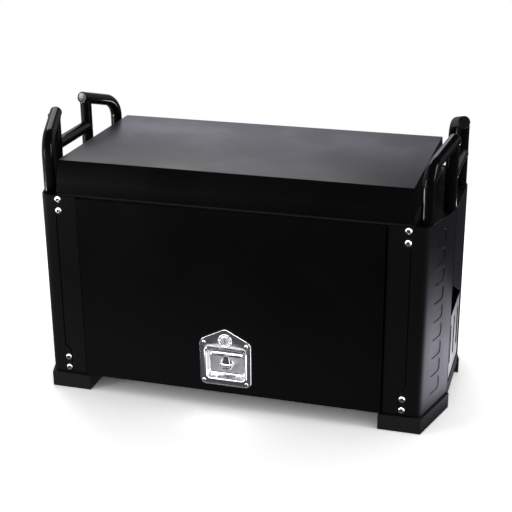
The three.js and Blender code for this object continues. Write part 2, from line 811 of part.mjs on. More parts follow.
// Foam seal on the rim, under the lid's lower edge
function lidSeal() {
  const half = lidHalfWidth;
  const halfY = -railFrontY;
  const outer = rectangle(-half, half, -halfY, halfY);
  const hole = rectangle(-rimInnerX, rimInnerX, -rimInnerY, rimInnerY);
  const inner = offset(hole, -cabinetSheet - seatGap, true);
  return prism("z", outer, shellTop + seatGap, lidHem - seatGap, [inner]);
}

// Piano hinge: leaves with alternate knuckles round one pin
const knuckleLength = (2 * hingeHalfLength) / hingeKnuckles;

function knuckleRow(first) {
  const ring = circle(hingeY, hingeZ, hingeRadius, pinSides);
  const bore = circle(hingeY, hingeZ, hingePinRadius + pivotGap, pinSides);
  const row = [];
  for (let index = first; index < hingeKnuckles; index += 2) {
    const from = -hingeHalfLength + index * knuckleLength + seatGap / 2;
    row.push({ from, to: from + knuckleLength - seatGap, ring, bore });
  }
  return row;
}

function hingeLeafBody() {
  const leafHeight = 28;
  const leafBottom = shellTop - leafHeight;
  const leafY = -shellFrontY + seatGap;
  const gap = hingeRadius + pivotGap;
  let leaf = block(-hingeHalfLength, hingeHalfLength, leafY, leafY + hingeSheet, leafBottom, hingeZ - gap);
  for (const { from, to, ring, bore } of knuckleRow(0)) {
    const tab = block(from, to, leafY, leafY + hingeSheet, hingeZ - gap - hingeSheet, hingeZ);
    const pinWay = prism("x", bore, from - cutOverrun, to + cutOverrun);
    leaf = join(leaf, cut(join(tab, prism("x", ring, from, to)), pinWay));
  }
  return leaf;
}

function hingeLeafLid() {
  const leafHeight = 23;
  const leafTop = lidHem + leafHeight;
  const lidBackY = lidDepth / 2;
  const leafY = lidBackY + seatGap;
  const legTop = hingeZ + hingeRadius;
  const legBottom = legTop - hingeSheet;
  const gap = hingeRadius + pivotGap;
  const ell = [
    [leafY, legBottom],
    [hingeY - gap, legBottom],
    [hingeY - gap, legTop],
    [leafY + hingeSheet, legTop],
    [leafY + hingeSheet, leafTop],
    [leafY, leafTop],
  ];
  let leaf = prism("x", ell, -hingeHalfLength, hingeHalfLength);
  for (const { from, to, ring, bore } of knuckleRow(1)) {
    const tab = block(from, to, hingeY - gap - hingeSheet, hingeY, legBottom, legTop);
    const pinWay = prism("x", bore, from - cutOverrun, to + cutOverrun);
    leaf = join(leaf, cut(join(tab, prism("x", ring, from, to)), pinWay));
  }
  return leaf;
}

const hingePin = () => bar("x", hingeY, hingeZ, hingePinRadius, -hingeHalfLength, hingeHalfLength);

// Lid: a folded steel cap with slanted front and rear edges and an upright hem
const lidHemHeight = 28;
const lidSlantDepth = 14.5;
const lidFoldRadius = 4;
const lidSheet = 1.5;

function lidShell() {
  const half = lidDepth / 2;
  const slantFoot = lidHem + lidHemHeight;
  const path = [
    [-half, lidHem],
    [-half, slantFoot],
    [-half + lidSlantDepth, lidTop],
    [half - lidSlantDepth, lidTop],
    [half, slantFoot],
    [half, lidHem],
  ];
  const outer = rounded(path, lidFoldRadius, cornerSteps);
  const inner = offset(path, -lidSheet);
  const below = lidHem - cutOverrun;
  const hollow = [[inner[0][0], below], ...inner.slice(1, -1), [inner[inner.length - 1][0], below]];
  const innerHalf = lidHalfWidth - lidSheet;
  return cut(prism("x", outer, -lidHalfWidth, lidHalfWidth), prism("x", hollow, -innerHalf, innerHalf));
}

// Hat section under the lid with an ear and a stud at each end for the gas struts
function lidBrace() {
  const braceSetback = 20; // middle of the brace in front of the studs
  const braceHalf = 30;
  const crownHalf = 14;
  const slope = 4;
  const braceDrop = 15;
  const earSheet = 2;
  const earInset = 14.5; // outer face of an ear inside the lid's end
  const earHalf = 12;
  const earBelowStud = 8;
  const earX = lidHalfWidth - earInset;
  const braceY = strutHeadY - braceSetback;
  const top = lidTop - lidSheet - seatGap;
  const low = top - braceDrop;
  const path = [
    [braceY - braceHalf, top],
    [braceY - crownHalf - slope, top],
    [braceY - crownHalf, low],
    [braceY + crownHalf, low],
    [braceY + crownHalf + slope, top],
    [braceY + braceHalf, top],
  ];
  const half = lidHalfWidth - lidSheet - seatGap;
  let brace = prism("x", foldedSheet(path, -lidSheet), -half, half);
  const studEnd = strutX + strutRadius + seatGap;
  for (const side of [-1, 1]) {
    const along = (near, far) => (side > 0 ? [near, far] : [-far, -near]);
    const earLow = strutHeadZ - earBelowStud;
    const ear = rounded(
      [
        [braceY - crownHalf, top - lidSheet / 2],
        [braceY - crownHalf, low],
        [strutHeadY - earHalf, earLow],
        [strutHeadY + earHalf, earLow],
        [strutHeadY + earHalf, strutHeadZ + earHalf],
        [braceY + braceHalf, top - lidSheet / 2],
      ],
      [0, 0, earHalf / 2, earHalf / 2, 0, 0],
      cornerSteps,
      true,
    );
    brace = join(
      brace,
      prism("x", ear, ...along(earX - earSheet, earX)),
      bar("x", strutHeadY, strutHeadZ, strutStudRadius, ...along(studEnd, earX - earSheet / 2)),
    );
  }
  return brace;
}

// Gas strut, modelled along +Y from its lower eye and tilted in place
const strutLength = Math.hypot(strutHeadY - strutFootY, strutHeadZ - strutFootZ);
const strutTilt = Math.atan2(strutHeadZ - strutFootZ, strutHeadY - strutFootY);
const strutCylinderLength = 116;
const strutNeck = 16;
const strutCylinderEnd = 8; // closed end of the cylinder
const strutRodClearance = 6; // rod's end in front of the bore's floor

function strutCylinder() {
  const boreRadius = strutRodRadius + pivotGap;
  const boreStart = strutNeck + strutCylinderEnd;
  const neckRadius = 4.5;
  const eye = bar("x", 0, 0, strutEyeRadius, -strutEyeHalfWidth, strutEyeHalfWidth);
  const neck = bar("y", 0, 0, neckRadius, 0, strutNeck + cutOverrun);
  const barrel = bar("y", 0, 0, strutRadius, strutNeck, strutCylinderLength);
  const far = strutEyeHalfWidth + cutOverrun;
  const eyeHole = bar("x", 0, 0, strutStudRadius + pivotGap, -far, far);
  return cut(
    join(eye, neck, barrel),
    eyeHole,
    bar("y", 0, 0, boreRadius, boreStart, strutCylinderLength + cutOverrun),
  );
}

function strutRod() {
  const socketDepth = 9;
  const shaftStart = strutNeck + strutCylinderEnd + strutRodClearance;
  const shaft = bar("y", 0, 0, strutRodRadius, shaftStart, strutLength);
  const socket = bar("x", strutLength, 0, strutRadius, -strutRadius, strutRadius);
  const bore = strutStudRadius + pivotGap;
  const dimple = bar("x", strutLength, 0, bore, strutRadius - socketDepth, strutRadius + cutOverrun);
  return cut(join(shaft, socket), dimple);
}

function addStruts() {
  for (const [side, x] of sides) {
    const holder = new THREE.Group();
    holder.position.set(x * strutX, strutFootY, strutFootZ);
    holder.rotation.x = strutTilt;
    holder.scale.x = x;
    part.add(holder);
    add(`strut_cylinder_${side}`, strutCylinder(), "blackPaint", holder);
    add(`strut_rod_${side}`, strutRod(), "zincPlate", holder);
  }
}

// Catch behind the front sill that the latch cam drops behind
function latchStrike() {
  const halfWidth = 22;
  const footDepth = 20;
  const base = shellFloorTop + seatGap;
  const path = [
    [strikeFrontY, strikeTop],
    [strikeFrontY, base],
    [strikeFrontY + footDepth, base],
  ];
  return prism("x", foldedSheet(path, cabinetSheet), latchX - halfWidth, latchX + halfWidth);
}

// Lift-off front cover: a shallow pan with two tongues that slide through the cabinet's front rail
function coverPanel() {
  const tongueRoot = coverFrontY + coverSheet / 2;
  const frameBottom = coverBottom + coverSheet;
  const frameTop = coverTop - coverSheet;
  const innerHalf = coverHalfWidth - coverSheet;
  const outer = block(-coverHalfWidth, coverHalfWidth, coverFrontY, coverBackY, coverBottom, coverTop);
  const hollowBack = coverBackY + cutOverrun;
  const hollow = block(-innerHalf, innerHalf, coverFrontY + coverSheet, hollowBack, frameBottom, frameTop);
  const dishRoom = dishOutline(-seatGap, -seatGap);
  const holeBack = coverFrontY + coverSheet + cutOverrun;
  let cover = cut(
    outer,
    hollow,
    prism("y", dishRoom, coverFrontY - cutOverrun, holeBack),
    bar("y", latchX, lockZ, lockBodyRadius + seatGap * 2, coverFrontY - cutOverrun, holeBack, tubeSides),
  );
  for (const x of [-tongueX, tongueX]) {
    const left = x - tongueWidth / 2;
    const high = tongueZ + tongueThickness;
    cover = join(cover, block(left, left + tongueWidth, tongueRoot, railBackY + tongueReach, tongueZ, high));
  }
  return cover;
}

// Outline of the latch dish in (x, z), made smaller by an inset at the sides and the top and by one at the
// bottom
function dishOutline(inset, bottomInset) {
  const cornerRadius = 8;
  const left = latchX - dishHalfWidth + inset;
  const right = latchX + dishHalfWidth - inset;
  const low = dishBottom + bottomInset;
  return rounded(rectangle(left, right, low, dishTop - inset), cornerRadius, cornerSteps, true);
}

// The tapered bowl of the dish, with its walls moved in by the sheet, between two depths
function dishBowl(sheet, mouthY, floorY) {
  const wallSlope = 2.5;
  const bottomSlope = 8;
  const ring = (outline, y) => outline.map(([x, z]) => new THREE.Vector3(x, y, z)).reverse();
  const mouth = dishOutline(sheet, sheet);
  const floor = dishOutline(sheet + wallSlope, sheet + bottomSlope);
  return loft([ring(mouth, mouthY), ring(floor, floorY)]);
}

// Latch plate with its pressed dish, the lock's collar and the lock body behind it
function latchDish() {
  const plateMargin = 14.5; // plate past the dish at the sides
  const shoulderRise = 91;
  const apexRise = 132;
  const lowCorner = 8;
  const apexRadius = 16;
  const shoulderRadius = 8;
  const collarRadius = 15;
  const collarHeight = 2.2;
  const shaftHole = 7.2;
  const halfWidth = dishHalfWidth + plateMargin;
  const shoulder = latchLow + shoulderRise;
  const outline = rounded(
    [
      [latchX - halfWidth, latchLow],
      [latchX + halfWidth, latchLow],
      [latchX + halfWidth, shoulder],
      [latchX, latchLow + apexRise],
      [latchX - halfWidth, shoulder],
    ],
    [lowCorner, lowCorner, shoulderRadius, apexRadius, shoulderRadius],
    bendSteps,
    true,
  );
  const plate = prism("y", outline, latchPlateFrontY, latchPlateBackY);
  const dish = dishBowl(0, latchPlateFrontY + latchPlateSheet / 2, dishBackY);
  const hollow = dishBowl(dishSheet, latchPlateFrontY, dishBackY - dishSheet);
  const mouthOutline = dishOutline(dishSheet, dishSheet);
  const mouth = prism("y", mouthOutline, latchPlateFrontY - cutOverrun, latchPlateFrontY);
  const collarFront = latchPlateFrontY - collarHeight;
  const collar = bar("y", latchX, lockZ, collarRadius, collarFront, latchPlateBackY, tubeSides);
  const lockBody = bar("y", latchX, lockZ, lockBodyRadius, latchPlateFrontY, lockBodyEndY, tubeSides);
  const holeFront = collarFront - cutOverrun;
  const holeBack = lockBodyEndY + cutOverrun;
  const plugHole = bar("y", latchX, lockZ, plugRadius + pivotGap, holeFront, holeBack, tubeSides);
  return cut(
    join(plate, dish, collar, lockBody),
    mouth,
    hollow,
    plugHole,
    bar("y", latchX, spindleZ, shaftHole, dishBackY - dishSheet - cutOverrun, dishBackY + cutOverrun),
  );
}

// Lock plug with its key slot and a small tail behind the lock body
function lockPlug() {
  const frontRecess = 0.8;
  const slotHalfWidth = 1;
  const slotHalfHeight = 5;
  const slotDepth = 8;
  const tailLength = 15;
  const tailThickness = 2.5;
  const tailHalfWidth = 5;
  const collarFront = latchPlateFrontY - latchPlateSheet;
  const front = collarFront + frontRecess;
  const tailFront = lockBodyEndY + seatGap;
  const body = bar("y", latchX, lockZ, plugRadius, front, tailFront + tailThickness, tubeSides);
  const slot = block(
    latchX - slotHalfWidth,
    latchX + slotHalfWidth,
    front - cutOverrun,
    front + slotDepth,
    lockZ - slotHalfHeight,
    lockZ + slotHalfHeight,
  );
  const tail = block(
    latchX - tailHalfWidth,
    latchX + tailHalfWidth,
    tailFront,
    tailFront + tailThickness,
    lockZ,
    lockZ + tailLength,
  );
  return cut(join(body, tail), slot);
}

// Folding T handle: a cross bar on a tapered stem, with the barrel and pin that it folds out on
const barrelRadius = 4.5;
const barrelHalf = 8.7;
const handlePinRadius = 2;
const earWidth = 4;

function tHandle() {
  const barSideRoom = 4.5; // bar inside the dish's mouth
  const barDrop = 16.3; // underside of the bar below the dish's upper edge
  const barHeight = 8;
  const barHalfDepth = 3.5;
  const barEndRadius = 3.9;
  const stemHalfDepth = 2.5;
  const stemHalfTop = 6;
  const stemOverlap = 2;
  const barHalf = dishHalfWidth - barSideRoom;
  const barLow = dishTop - barDrop;
  const barHigh = barLow + barHeight;
  const crossBar = rounded(
    rectangle(latchX - barHalf, latchX + barHalf, barLow, barHigh),
    barEndRadius,
    cornerSteps + 1,
    true,
  );
  const stem = [
    [latchX - barrelHalf, spindleZ],
    [latchX + barrelHalf, spindleZ],
    [latchX + stemHalfTop, barLow + stemOverlap],
    [latchX - stemHalfTop, barLow + stemOverlap],
  ];
  const pinHalf = barrelHalf + seatGap + earWidth;
  return join(
    prism("y", crossBar, handlePivotY - barHalfDepth, handlePivotY + barHalfDepth),
    prism("y", stem, handlePivotY - stemHalfDepth, handlePivotY + stemHalfDepth),
    bar("x", handlePivotY, spindleZ, barrelRadius, latchX - barrelHalf, latchX + barrelHalf),
    bar("x", handlePivotY, spindleZ, handlePinRadius, latchX - pinHalf, latchX + pinHalf),
  );
}

// Where the flange, ears and shaft of the spindle end, front to back
const hubThickness = 1.6;
const hubBackY = dishBackY - dishSheet - seatGap;
const camThickness = 3;
const camPlay = 0.6;
const shaftPastCam = 1.5;
const camFrontY = strikeFrontY + cabinetSheet + camPlay;
const shaftEndY = camFrontY + camThickness + shaftPastCam;

function latchSpindle() {
  const hubRadius = 15;
  const earHalf = 5.5;
  const earReach = 4.5; // in front of the pin
  const holeRadius = handlePinRadius + pivotGap;
  const squareHalf = spindleSquare / 2;
  const hub = bar("y", latchX, spindleZ, hubRadius, hubBackY - hubThickness, hubBackY, tubeSides);
  const shaft = block(
    latchX - squareHalf,
    latchX + squareHalf,
    hubBackY - hubThickness / 2,
    shaftEndY,
    spindleZ - squareHalf,
    spindleZ + squareHalf,
  );
  let spindle = join(hub, shaft);
  const ear = cutRectangle(
    handlePivotY - earReach,
    hubBackY - hubThickness / 2,
    spindleZ - earHalf,
    spindleZ + earHalf,
    hubThickness / 2,
  );
  for (const side of [-1, 1]) {
    const near = latchX + side * (barrelHalf + seatGap);
    const far = near + side * earWidth;
    const from = Math.min(near, far);
    const to = Math.max(near, far);
    spindle = join(spindle, prism("x", ear, from, to));
  }
  const pinWay = barrelHalf + seatGap + earWidth + cutOverrun;
  return cut(spindle, bar("x", handlePivotY, spindleZ, holeRadius, latchX - pinWay, latchX + pinWay));
}

// Cam on the spindle's square, reaching down behind the strike
function latchCam() {
  const halfWidth = 9;
  const headHalf = 11;
  const tipHalf = 7;
  const outline = [
    [latchX - tipHalf, strikeTop + camGap],
    [latchX + tipHalf, strikeTop + camGap],
    [latchX + halfWidth, spindleZ - headHalf],
    [latchX + headHalf, spindleZ],
    [latchX + halfWidth, spindleZ + headHalf],
    [latchX - halfWidth, spindleZ + headHalf],
    [latchX - headHalf, spindleZ],
    [latchX - halfWidth, spindleZ - headHalf],
  ];
  const half = spindleSquare / 2 + seatGap;
  const hole = rectangle(latchX - half, latchX + half, spindleZ - half, spindleZ + half);
  return prism("y", outline, camFrontY, camFrontY + camThickness, [hole]);
}

// Drawer: an open tray with a folded front and a runner along each side
function drawerTray({ low, height }) {
  const trayRise = 3;
  const trayDrop = 6;
  const frontBack = drawerFrontY + drawerSheet;
  const bodyLow = low + trayRise;
  const bodyHigh = low + height - trayDrop;
  const bodyBack = drawerFrontY + drawerDepth;
  const half = drawerBodyHalfWidth;
  const outer = block(-half, half, drawerFrontY + drawerSheet / 2, bodyBack, bodyLow, bodyHigh);
  const inner = block(
    -half + drawerSheet,
    half - drawerSheet,
    frontBack,
    bodyBack - drawerSheet,
    bodyLow + drawerSheet,
    bodyHigh + cutOverrun,
  );
  const frontPath = [
    [-drawerHalfWidth, drawerFrontY + drawerFrontReturn],
    [-drawerHalfWidth, drawerFrontY],
    [drawerHalfWidth, drawerFrontY],
    [drawerHalfWidth, drawerFrontY + drawerFrontReturn],
  ];
  let tray = join(cut(outer, inner), prism("z", foldedSheet(frontPath, drawerSheet), low, low + height));
  const runnerLow = low + runnerRise;
  const runnerFront = drawerFrontY + drawerFrontReturn + slideGap * 2;
  const runnerBack = bodyBack - drawerSheet;
  for (const side of [-1, 1]) {
    const near = side * (half - drawerSheet / 2);
    const far = side * (half + runnerReach);
    const runner = block(
      Math.min(near, far),
      Math.max(near, far),
      runnerFront,
      runnerBack,
      runnerLow,
      runnerLow + runnerHeight,
    );
    tray = join(tray, runner);
  }
  return tray;
}

// Full-width drawer pull: an extruded hook along the top of the drawer front
const pullTopDrop = 1;
const pullHeight = 20;
const pullReach = 11;
const pullLip = 7;
const pullSheet = 1.5;
const pullEndInset = 6;
const pullHookRadius = 4;

function drawerPull({ low, height }) {
  const back = drawerFrontY - seatGap;
  const top = low + height - pullTopDrop;
  const path = [
    [back, top - pullHeight],
    [back, top],
    [back - pullReach, top],
    [back - pullReach, top - pullLip],
  ];
  const half = drawerHalfWidth - pullEndInset;
  const hook = rounded(path, [0, 0, pullHookRadius, 0], cornerSteps);
  return prism("x", foldedSheet(hook, pullSheet), -half, half);
}

// The whole box
add("base_pan", basePan(), "blackPaint");
addAtCorners("foot", foot(), "blackRubber");
addAtCorners("post", cornerPost(), "blackPaint");
addOnSides("side_skin", sideSkin(), "blackPaint");
addOnSides("vent_panel", ventPanel(), "zincPlate");
addOnSides("handle_plate", handlePlate(), "blackPaint");
addAtCorners("horn", horn(), "blackPaint");
addAtCorners("stanchion", stanchion(), "blackPaint");
addOnSides("grip", grip(), "blackPaint");
addAtCorners("end_cap", endCap(), "blackPlastic");
add("cabinet_shell", cabinetShell(), "blackPaint");
add("top_tray", topTray(), "blackPaint");
addOnSides("slide_rack", slideRack(), "zincPlate");
add("lid_seal", lidSeal(), "blackRubber");
add("hinge_leaf_body", hingeLeafBody(), "blackPaint");
add("hinge_pin", hingePin(), "zincPlate");
add("hinge_leaf_lid", hingeLeafLid(), "blackPaint");
add("lid_shell", lidShell(), "blackPaint");
add("lid_brace", lidBrace(), "blackPaint");
addStruts();
add("latch_strike", latchStrike(), "zincPlate");
add("cover_panel", coverPanel(), "blackPaint");
add("latch_dish", latchDish(), "stainless");
add("lock_plug", lockPlug(), "stainless");
add("t_handle", tHandle(), "stainless");
add("latch_spindle", latchSpindle(), "stainless");
add("latch_cam", latchCam(), "zincPlate");
drawerLevels.forEach((level, index) => {
  add(`drawer_tray_${index + 1}`, drawerTray(level), "blackPaint");
  add(`drawer_pull_${index + 1}`, drawerPull(level), "aluminium");
});

export default part;
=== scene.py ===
# Drawer tool box: the looks of a black steel box with a hinged lid, a latched front cover, armoured corners and tube
# side handles. Metres, +Z up, front towards -Y, origin on the floor under the middle of the box.
import math

import bmesh
import bpy
from mathutils import Matrix, Vector


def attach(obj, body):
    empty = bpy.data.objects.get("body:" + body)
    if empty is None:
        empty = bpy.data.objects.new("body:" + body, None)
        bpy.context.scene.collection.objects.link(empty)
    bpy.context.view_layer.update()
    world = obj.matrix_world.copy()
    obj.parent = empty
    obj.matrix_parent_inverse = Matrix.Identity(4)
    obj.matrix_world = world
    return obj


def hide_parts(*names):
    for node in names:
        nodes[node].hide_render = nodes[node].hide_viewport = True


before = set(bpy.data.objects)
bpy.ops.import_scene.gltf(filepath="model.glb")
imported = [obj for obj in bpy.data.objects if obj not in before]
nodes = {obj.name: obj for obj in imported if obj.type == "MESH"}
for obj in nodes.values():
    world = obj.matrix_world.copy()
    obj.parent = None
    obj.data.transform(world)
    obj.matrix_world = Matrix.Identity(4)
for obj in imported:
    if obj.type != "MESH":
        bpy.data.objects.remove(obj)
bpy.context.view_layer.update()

# Camera: it stands in front of the box, a little to its right and above it, and looks down at the front.
# A long lens keeps the upright edges nearly parallel.
CAMERA_PLACE = Vector((0.683316, -2.296414, 1.200070))
CAMERA_TURN = 0.2898965
CAMERA_DOWN = 0.372551
CAMERA_TILT = -0.0085357
CAMERA_LENS = 82.865
SENSOR_WIDTH = 36
camera_data = bpy.data.cameras.new("camera")
camera_data.sensor_width = SENSOR_WIDTH
camera_data.lens = CAMERA_LENS
camera = bpy.data.objects.new("camera", camera_data)
bpy.context.scene.collection.objects.link(camera)
camera.matrix_world = (
    Matrix.Translation(CAMERA_PLACE)
    @ Matrix.Rotation(CAMERA_TURN, 4, "Z")
    @ Matrix.Rotation(math.pi / 2 - CAMERA_DOWN, 4, "X")
    @ Matrix.Rotation(CAMERA_TILT, 4, "Z")
)
bpy.context.scene.camera = camera
bpy.context.scene.view_settings.view_transform = "Standard"


# World: a white studio as the camera sees it. What the box mirrors is a pale backdrop behind it, brighter to the
# left and ending overhead, a paler wall to the left and a dark room between them.
ROOM_LIGHT = 0.42
ROOM_GREY = (0.8, 0.8, 0.8)
ROOM_MIRRORED = 0.015
BACKDROP_LEFT = 1.05
BACKDROP_RIGHT = 0.25
BACKDROP_END = 0.3
LEFT_WALL = 0.25
WHITE = (1, 1, 1)
COOL_WHITE = (0.98, 0.96, 1.10)


def link(tree, source, target):
    tree.links.new(source, target)


def feed(tree, value, socket):
    """Sets a socket to a number or a colour, or links another node's output to it."""
    if isinstance(value, (int, float)):
        socket.default_value = value
    elif isinstance(value, tuple):
        socket.default_value = (*value, 1)
    else:
        link(tree, value, socket)


def value_node(tree, kind, **settings):
    node = tree.nodes.new(kind)
    for key, value in settings.items():
        setattr(node, key, value)
    return node


def math_node(tree, operation, *values):
    node = value_node(tree, "ShaderNodeMath", operation=operation)
    for socket, value in zip(node.inputs, values):
        feed(tree, value, socket)
    return node.outputs[0]


def product(tree, first, *others):
    for other in others:
        first = math_node(tree, "MULTIPLY", first, other)
    return first


def greatest(tree, first, *others):
    for other in others:
        first = math_node(tree, "MAXIMUM", first, other)
    return first


def smooth_range(tree, value, low, high, to_low=0.0, to_high=1.0):
    node = value_node(tree, "ShaderNodeMapRange", interpolation_type="SMOOTHSTEP")
    link(tree, value, node.inputs["Value"])
    for name, number in (("From Min", low), ("From Max", high), ("To Min", to_low), ("To Max", to_high)):
        node.inputs[name].default_value = number
    return node.outputs["Result"]


def place_in(tree, space="Object"):
    return tree.nodes.new("ShaderNodeTexCoord").outputs[space]


def axes_of(tree, vector):
    split = tree.nodes.new("ShaderNodeSeparateXYZ")
    link(tree, vector, split.inputs[0])
    return split.outputs


def glow(tree, kind, strength, colour=WHITE):
    node = tree.nodes.new(kind)
    feed(tree, colour, node.inputs["Color"])
    feed(tree, strength, node.inputs["Strength"])
    return node.outputs[0]


def mix_shaders(tree, factor, first, second):
    mix = tree.nodes.new("ShaderNodeMixShader")
    for socket, value in zip(mix.inputs, (factor, first, second)):
        link(tree, value, socket)
    return mix.outputs[0]


world = bpy.data.worlds.new("studio")
bpy.context.scene.world = world
world.use_nodes = True
tree = world.node_tree
tree.nodes.clear()
way = axes_of(tree, place_in(tree, "Generated"))
behind = smooth_range(tree, way["Y"], 0.15, 0.6)
shade = smooth_range(tree, way["X"], 0.05, -0.45, BACKDROP_RIGHT, BACKDROP_LEFT)
overhead = smooth_range(tree, way["Z"], 0.70, 0.45)
left_end = smooth_range(tree, way["X"], -0.45, -0.34, BACKDROP_END, 1.0)
wall = product(tree, smooth_range(tree, way["X"], -0.6, -0.85), LEFT_WALL)
mirrored = greatest(tree, product(tree, behind, shade, overhead, left_end), wall, ROOM_MIRRORED)
ray = tree.nodes.new("ShaderNodeLightPath").outputs
in_mirror = greatest(tree, ray["Is Glossy Ray"], ray["Is Transmission Ray"])
room = glow(tree, "ShaderNodeBackground", ROOM_LIGHT, ROOM_GREY)
room = mix_shaders(tree, in_mirror, room, glow(tree, "ShaderNodeBackground", mirrored, COOL_WHITE))
room = mix_shaders(tree, ray["Is Camera Ray"], room, glow(tree, "ShaderNodeBackground", 1))
output = tree.nodes.new("ShaderNodeOutputWorld")
link(tree, room, output.inputs["Surface"])


# Floor: a pale sweep that keeps the soft shadow round the feet and is plain white further off.
# Painted and polished faces mirror it: a bright pool to the right of the box, and dim grey in front of it.
FLOOR_HALF = 20.0
FLOOR_DROP = 0.0003
FLOOR_GREY = (0.5, 0.5, 0.5)
FLOOR_GAIN = 2.9
FLOOR_LIFT = 0.02
FLOOR_MIRRORED = 0.02
SHADOW_NEAR = 0.75
SHADOW_FAR = 1.5
POOL_GAIN = 1.8
LEFT_MIRRORED = 0.4
FRONT_RIGHT, FRONT_LEFT = 0.04, 0.12
floor_mesh = bpy.data.meshes.new("floor")
floor_corners = [(x * FLOOR_HALF, y * FLOOR_HALF, 0) for x, y in ((-1, -1), (1, -1), (1, 1), (-1, 1))]
floor_mesh.from_pydata(floor_corners, [], [(0, 1, 2, 3)])
floor = bpy.data.objects.new("floor", floor_mesh)
bpy.context.scene.collection.objects.link(floor)
floor.location.z = -FLOOR_DROP
paper = bpy.data.materials.new("floor_paper")
paper.use_nodes = True
tree = paper.node_tree
tree.nodes.clear()
place = place_in(tree)
distance = value_node(tree, "ShaderNodeVectorMath", operation="LENGTH")
link(tree, place, distance.inputs[0])
far_off = smooth_range(tree, distance.outputs["Value"], SHADOW_NEAR, SHADOW_FAR)
diffuse = tree.nodes.new("ShaderNodeBsdfDiffuse")
feed(tree, (FLOOR_GAIN, FLOOR_GAIN, FLOOR_GAIN), diffuse.inputs["Color"])
lit = tree.nodes.new("ShaderNodeAddShader")
link(tree, diffuse.outputs[0], lit.inputs[0])
link(tree, glow(tree, "ShaderNodeEmission", FLOOR_LIFT), lit.inputs[1])
seen = mix_shaders(tree, far_off, lit.outputs[0], glow(tree, "ShaderNodeEmission", 1))
axes = axes_of(tree, place)
pool_across = product(tree, smooth_range(tree, axes["X"], 0.45, 0.51), smooth_range(tree, axes["X"], 1.08, 0.72))
pool_along = product(tree, smooth_range(tree, axes["Y"], 0.54, 0.34), smooth_range(tree, axes["Y"], -0.32, -0.10))
pool_gain = smooth_range(tree, axes["Y"], 0.30, 0.12, 1.0, POOL_GAIN)
to_left = product(tree, smooth_range(tree, axes["X"], -0.9, -1.6), LEFT_MIRRORED)
front_shade = smooth_range(tree, axes["X"], 0.7, -0.6, FRONT_RIGHT, FRONT_LEFT)
in_front = product(tree, smooth_range(tree, axes["Y"], -0.95, -0.4), front_shade)
pool = product(tree, pool_across, pool_along, pool_gain)
mirrored = greatest(tree, pool, to_left, in_front, FLOOR_MIRRORED)
pale = tree.nodes.new("ShaderNodeBsdfDiffuse")
feed(tree, FLOOR_GREY, pale.inputs["Color"])
ray = tree.nodes.new("ShaderNodeLightPath").outputs
mirror = glow(tree, "ShaderNodeEmission", mirrored, COOL_WHITE)
surface = mix_shaders(tree, ray["Is Glossy Ray"], pale.outputs[0], mirror)
output = tree.nodes.new("ShaderNodeOutputMaterial")
link(tree, mix_shaders(tree, ray["Is Camera Ray"], surface, seen), output.inputs["Surface"])
floor_mesh.materials.append(paper)


# Lamps: a large soft box high behind the box, and two narrow ones, one in front to the left and one at the right.
# They shade the paint softly and draw thin light edges along the tubes.
def soft_box(name, place, aim, width, height, power):
    data = bpy.data.lights.new(name, "AREA")
    data.shape = "RECTANGLE"
    data.size = width
    data.size_y = height
    data.energy = power
    lamp = bpy.data.objects.new(name, data)
    lamp.location = place
    lamp.rotation_euler = (Vector(aim) - Vector(place)).to_track_quat("-Z", "Y").to_euler()
    bpy.context.scene.collection.objects.link(lamp)
    return lamp


soft_box("lamp_rear", (-1.4, 2.0, 2.8), (0, 0, 0.1), 2.4, 1.6, 22)
soft_box("lamp_front", (-2.4, -2.3, 0.85), (0, 0, 0.4), 0.6, 1.2, 8)
soft_box("lamp_side", (2.4, -0.2, 1.2), (0.3, 0, 0.3), 0.5, 1.6, 8)


# Powder coat: fine satin black paint, sprayed and baked on all the folded sheet steel of the box.
# It has a very fine orange peel, rounds every sheet edge a little, and rubs paler along those edges.
PAINT = (0.0048, 0.0048, 0.0052)
LIT_ARMOUR_PAINT = (0.0120, 0.0120, 0.0125)
PAINT_RUBBED = (0.045, 0.045, 0.046)
DUST = (0.3, 0.29, 0.27)
SHEET_EDGE = 0.0011
SIDES = (("left", -1), ("right", 1))
ENDS = (("front", -1), ("rear", 1))
CORNERS = [f"{end}_{side}" for end, _ in ENDS for side, _ in SIDES]
DRAWERS = range(1, 6)


def new_group(name, inputs, outputs):
    group = bpy.data.node_groups.new(name, "ShaderNodeTree")
    for label, kind, default in inputs:
        socket = group.interface.new_socket(name=label, in_out="INPUT", socket_type=kind)
        socket.default_value = default
    for label, kind in outputs:
        group.interface.new_socket(name=label, in_out="OUTPUT", socket_type=kind)
    return group, group.nodes.new("NodeGroupInput"), group.nodes.new("NodeGroupOutput")


def noise(tree, scale, detail, coordinates=None):
    node = tree.nodes.new("ShaderNodeTexNoise")
    node.inputs["Detail"].default_value = detail
    feed(tree, scale, node.inputs["Scale"])
    link(tree, place_in(tree) if coordinates is None else coordinates, node.inputs["Vector"])
    return node.outputs["Fac"]


sheet_edges, group_in, group_out = new_group(
    "sheet_edges",
    [("Radius", "NodeSocketFloat", SHEET_EDGE), ("Patchiness", "NodeSocketFloat", 60.0)],
    [("Normal", "NodeSocketVector"), ("Wear", "NodeSocketFloat")],
)
bevel = value_node(sheet_edges, "ShaderNodeBevel", samples=4)
link(sheet_edges, group_in.outputs["Radius"], bevel.inputs["Radius"])
flat = sheet_edges.nodes.new("ShaderNodeNewGeometry")
leaning = value_node(sheet_edges, "ShaderNodeVectorMath", operation="DOT_PRODUCT")
link(sheet_edges, bevel.outputs[0], leaning.inputs[0])
link(sheet_edges, flat.outputs["Normal"], leaning.inputs[1])
on_edge = smooth_range(sheet_edges, leaning.outputs["Value"], 0.995, 0.8)
rubbed = smooth_range(sheet_edges, noise(sheet_edges, group_in.outputs["Patchiness"], 4.0), 0.45, 0.65)
link(sheet_edges, bevel.outputs[0], group_out.inputs["Normal"])
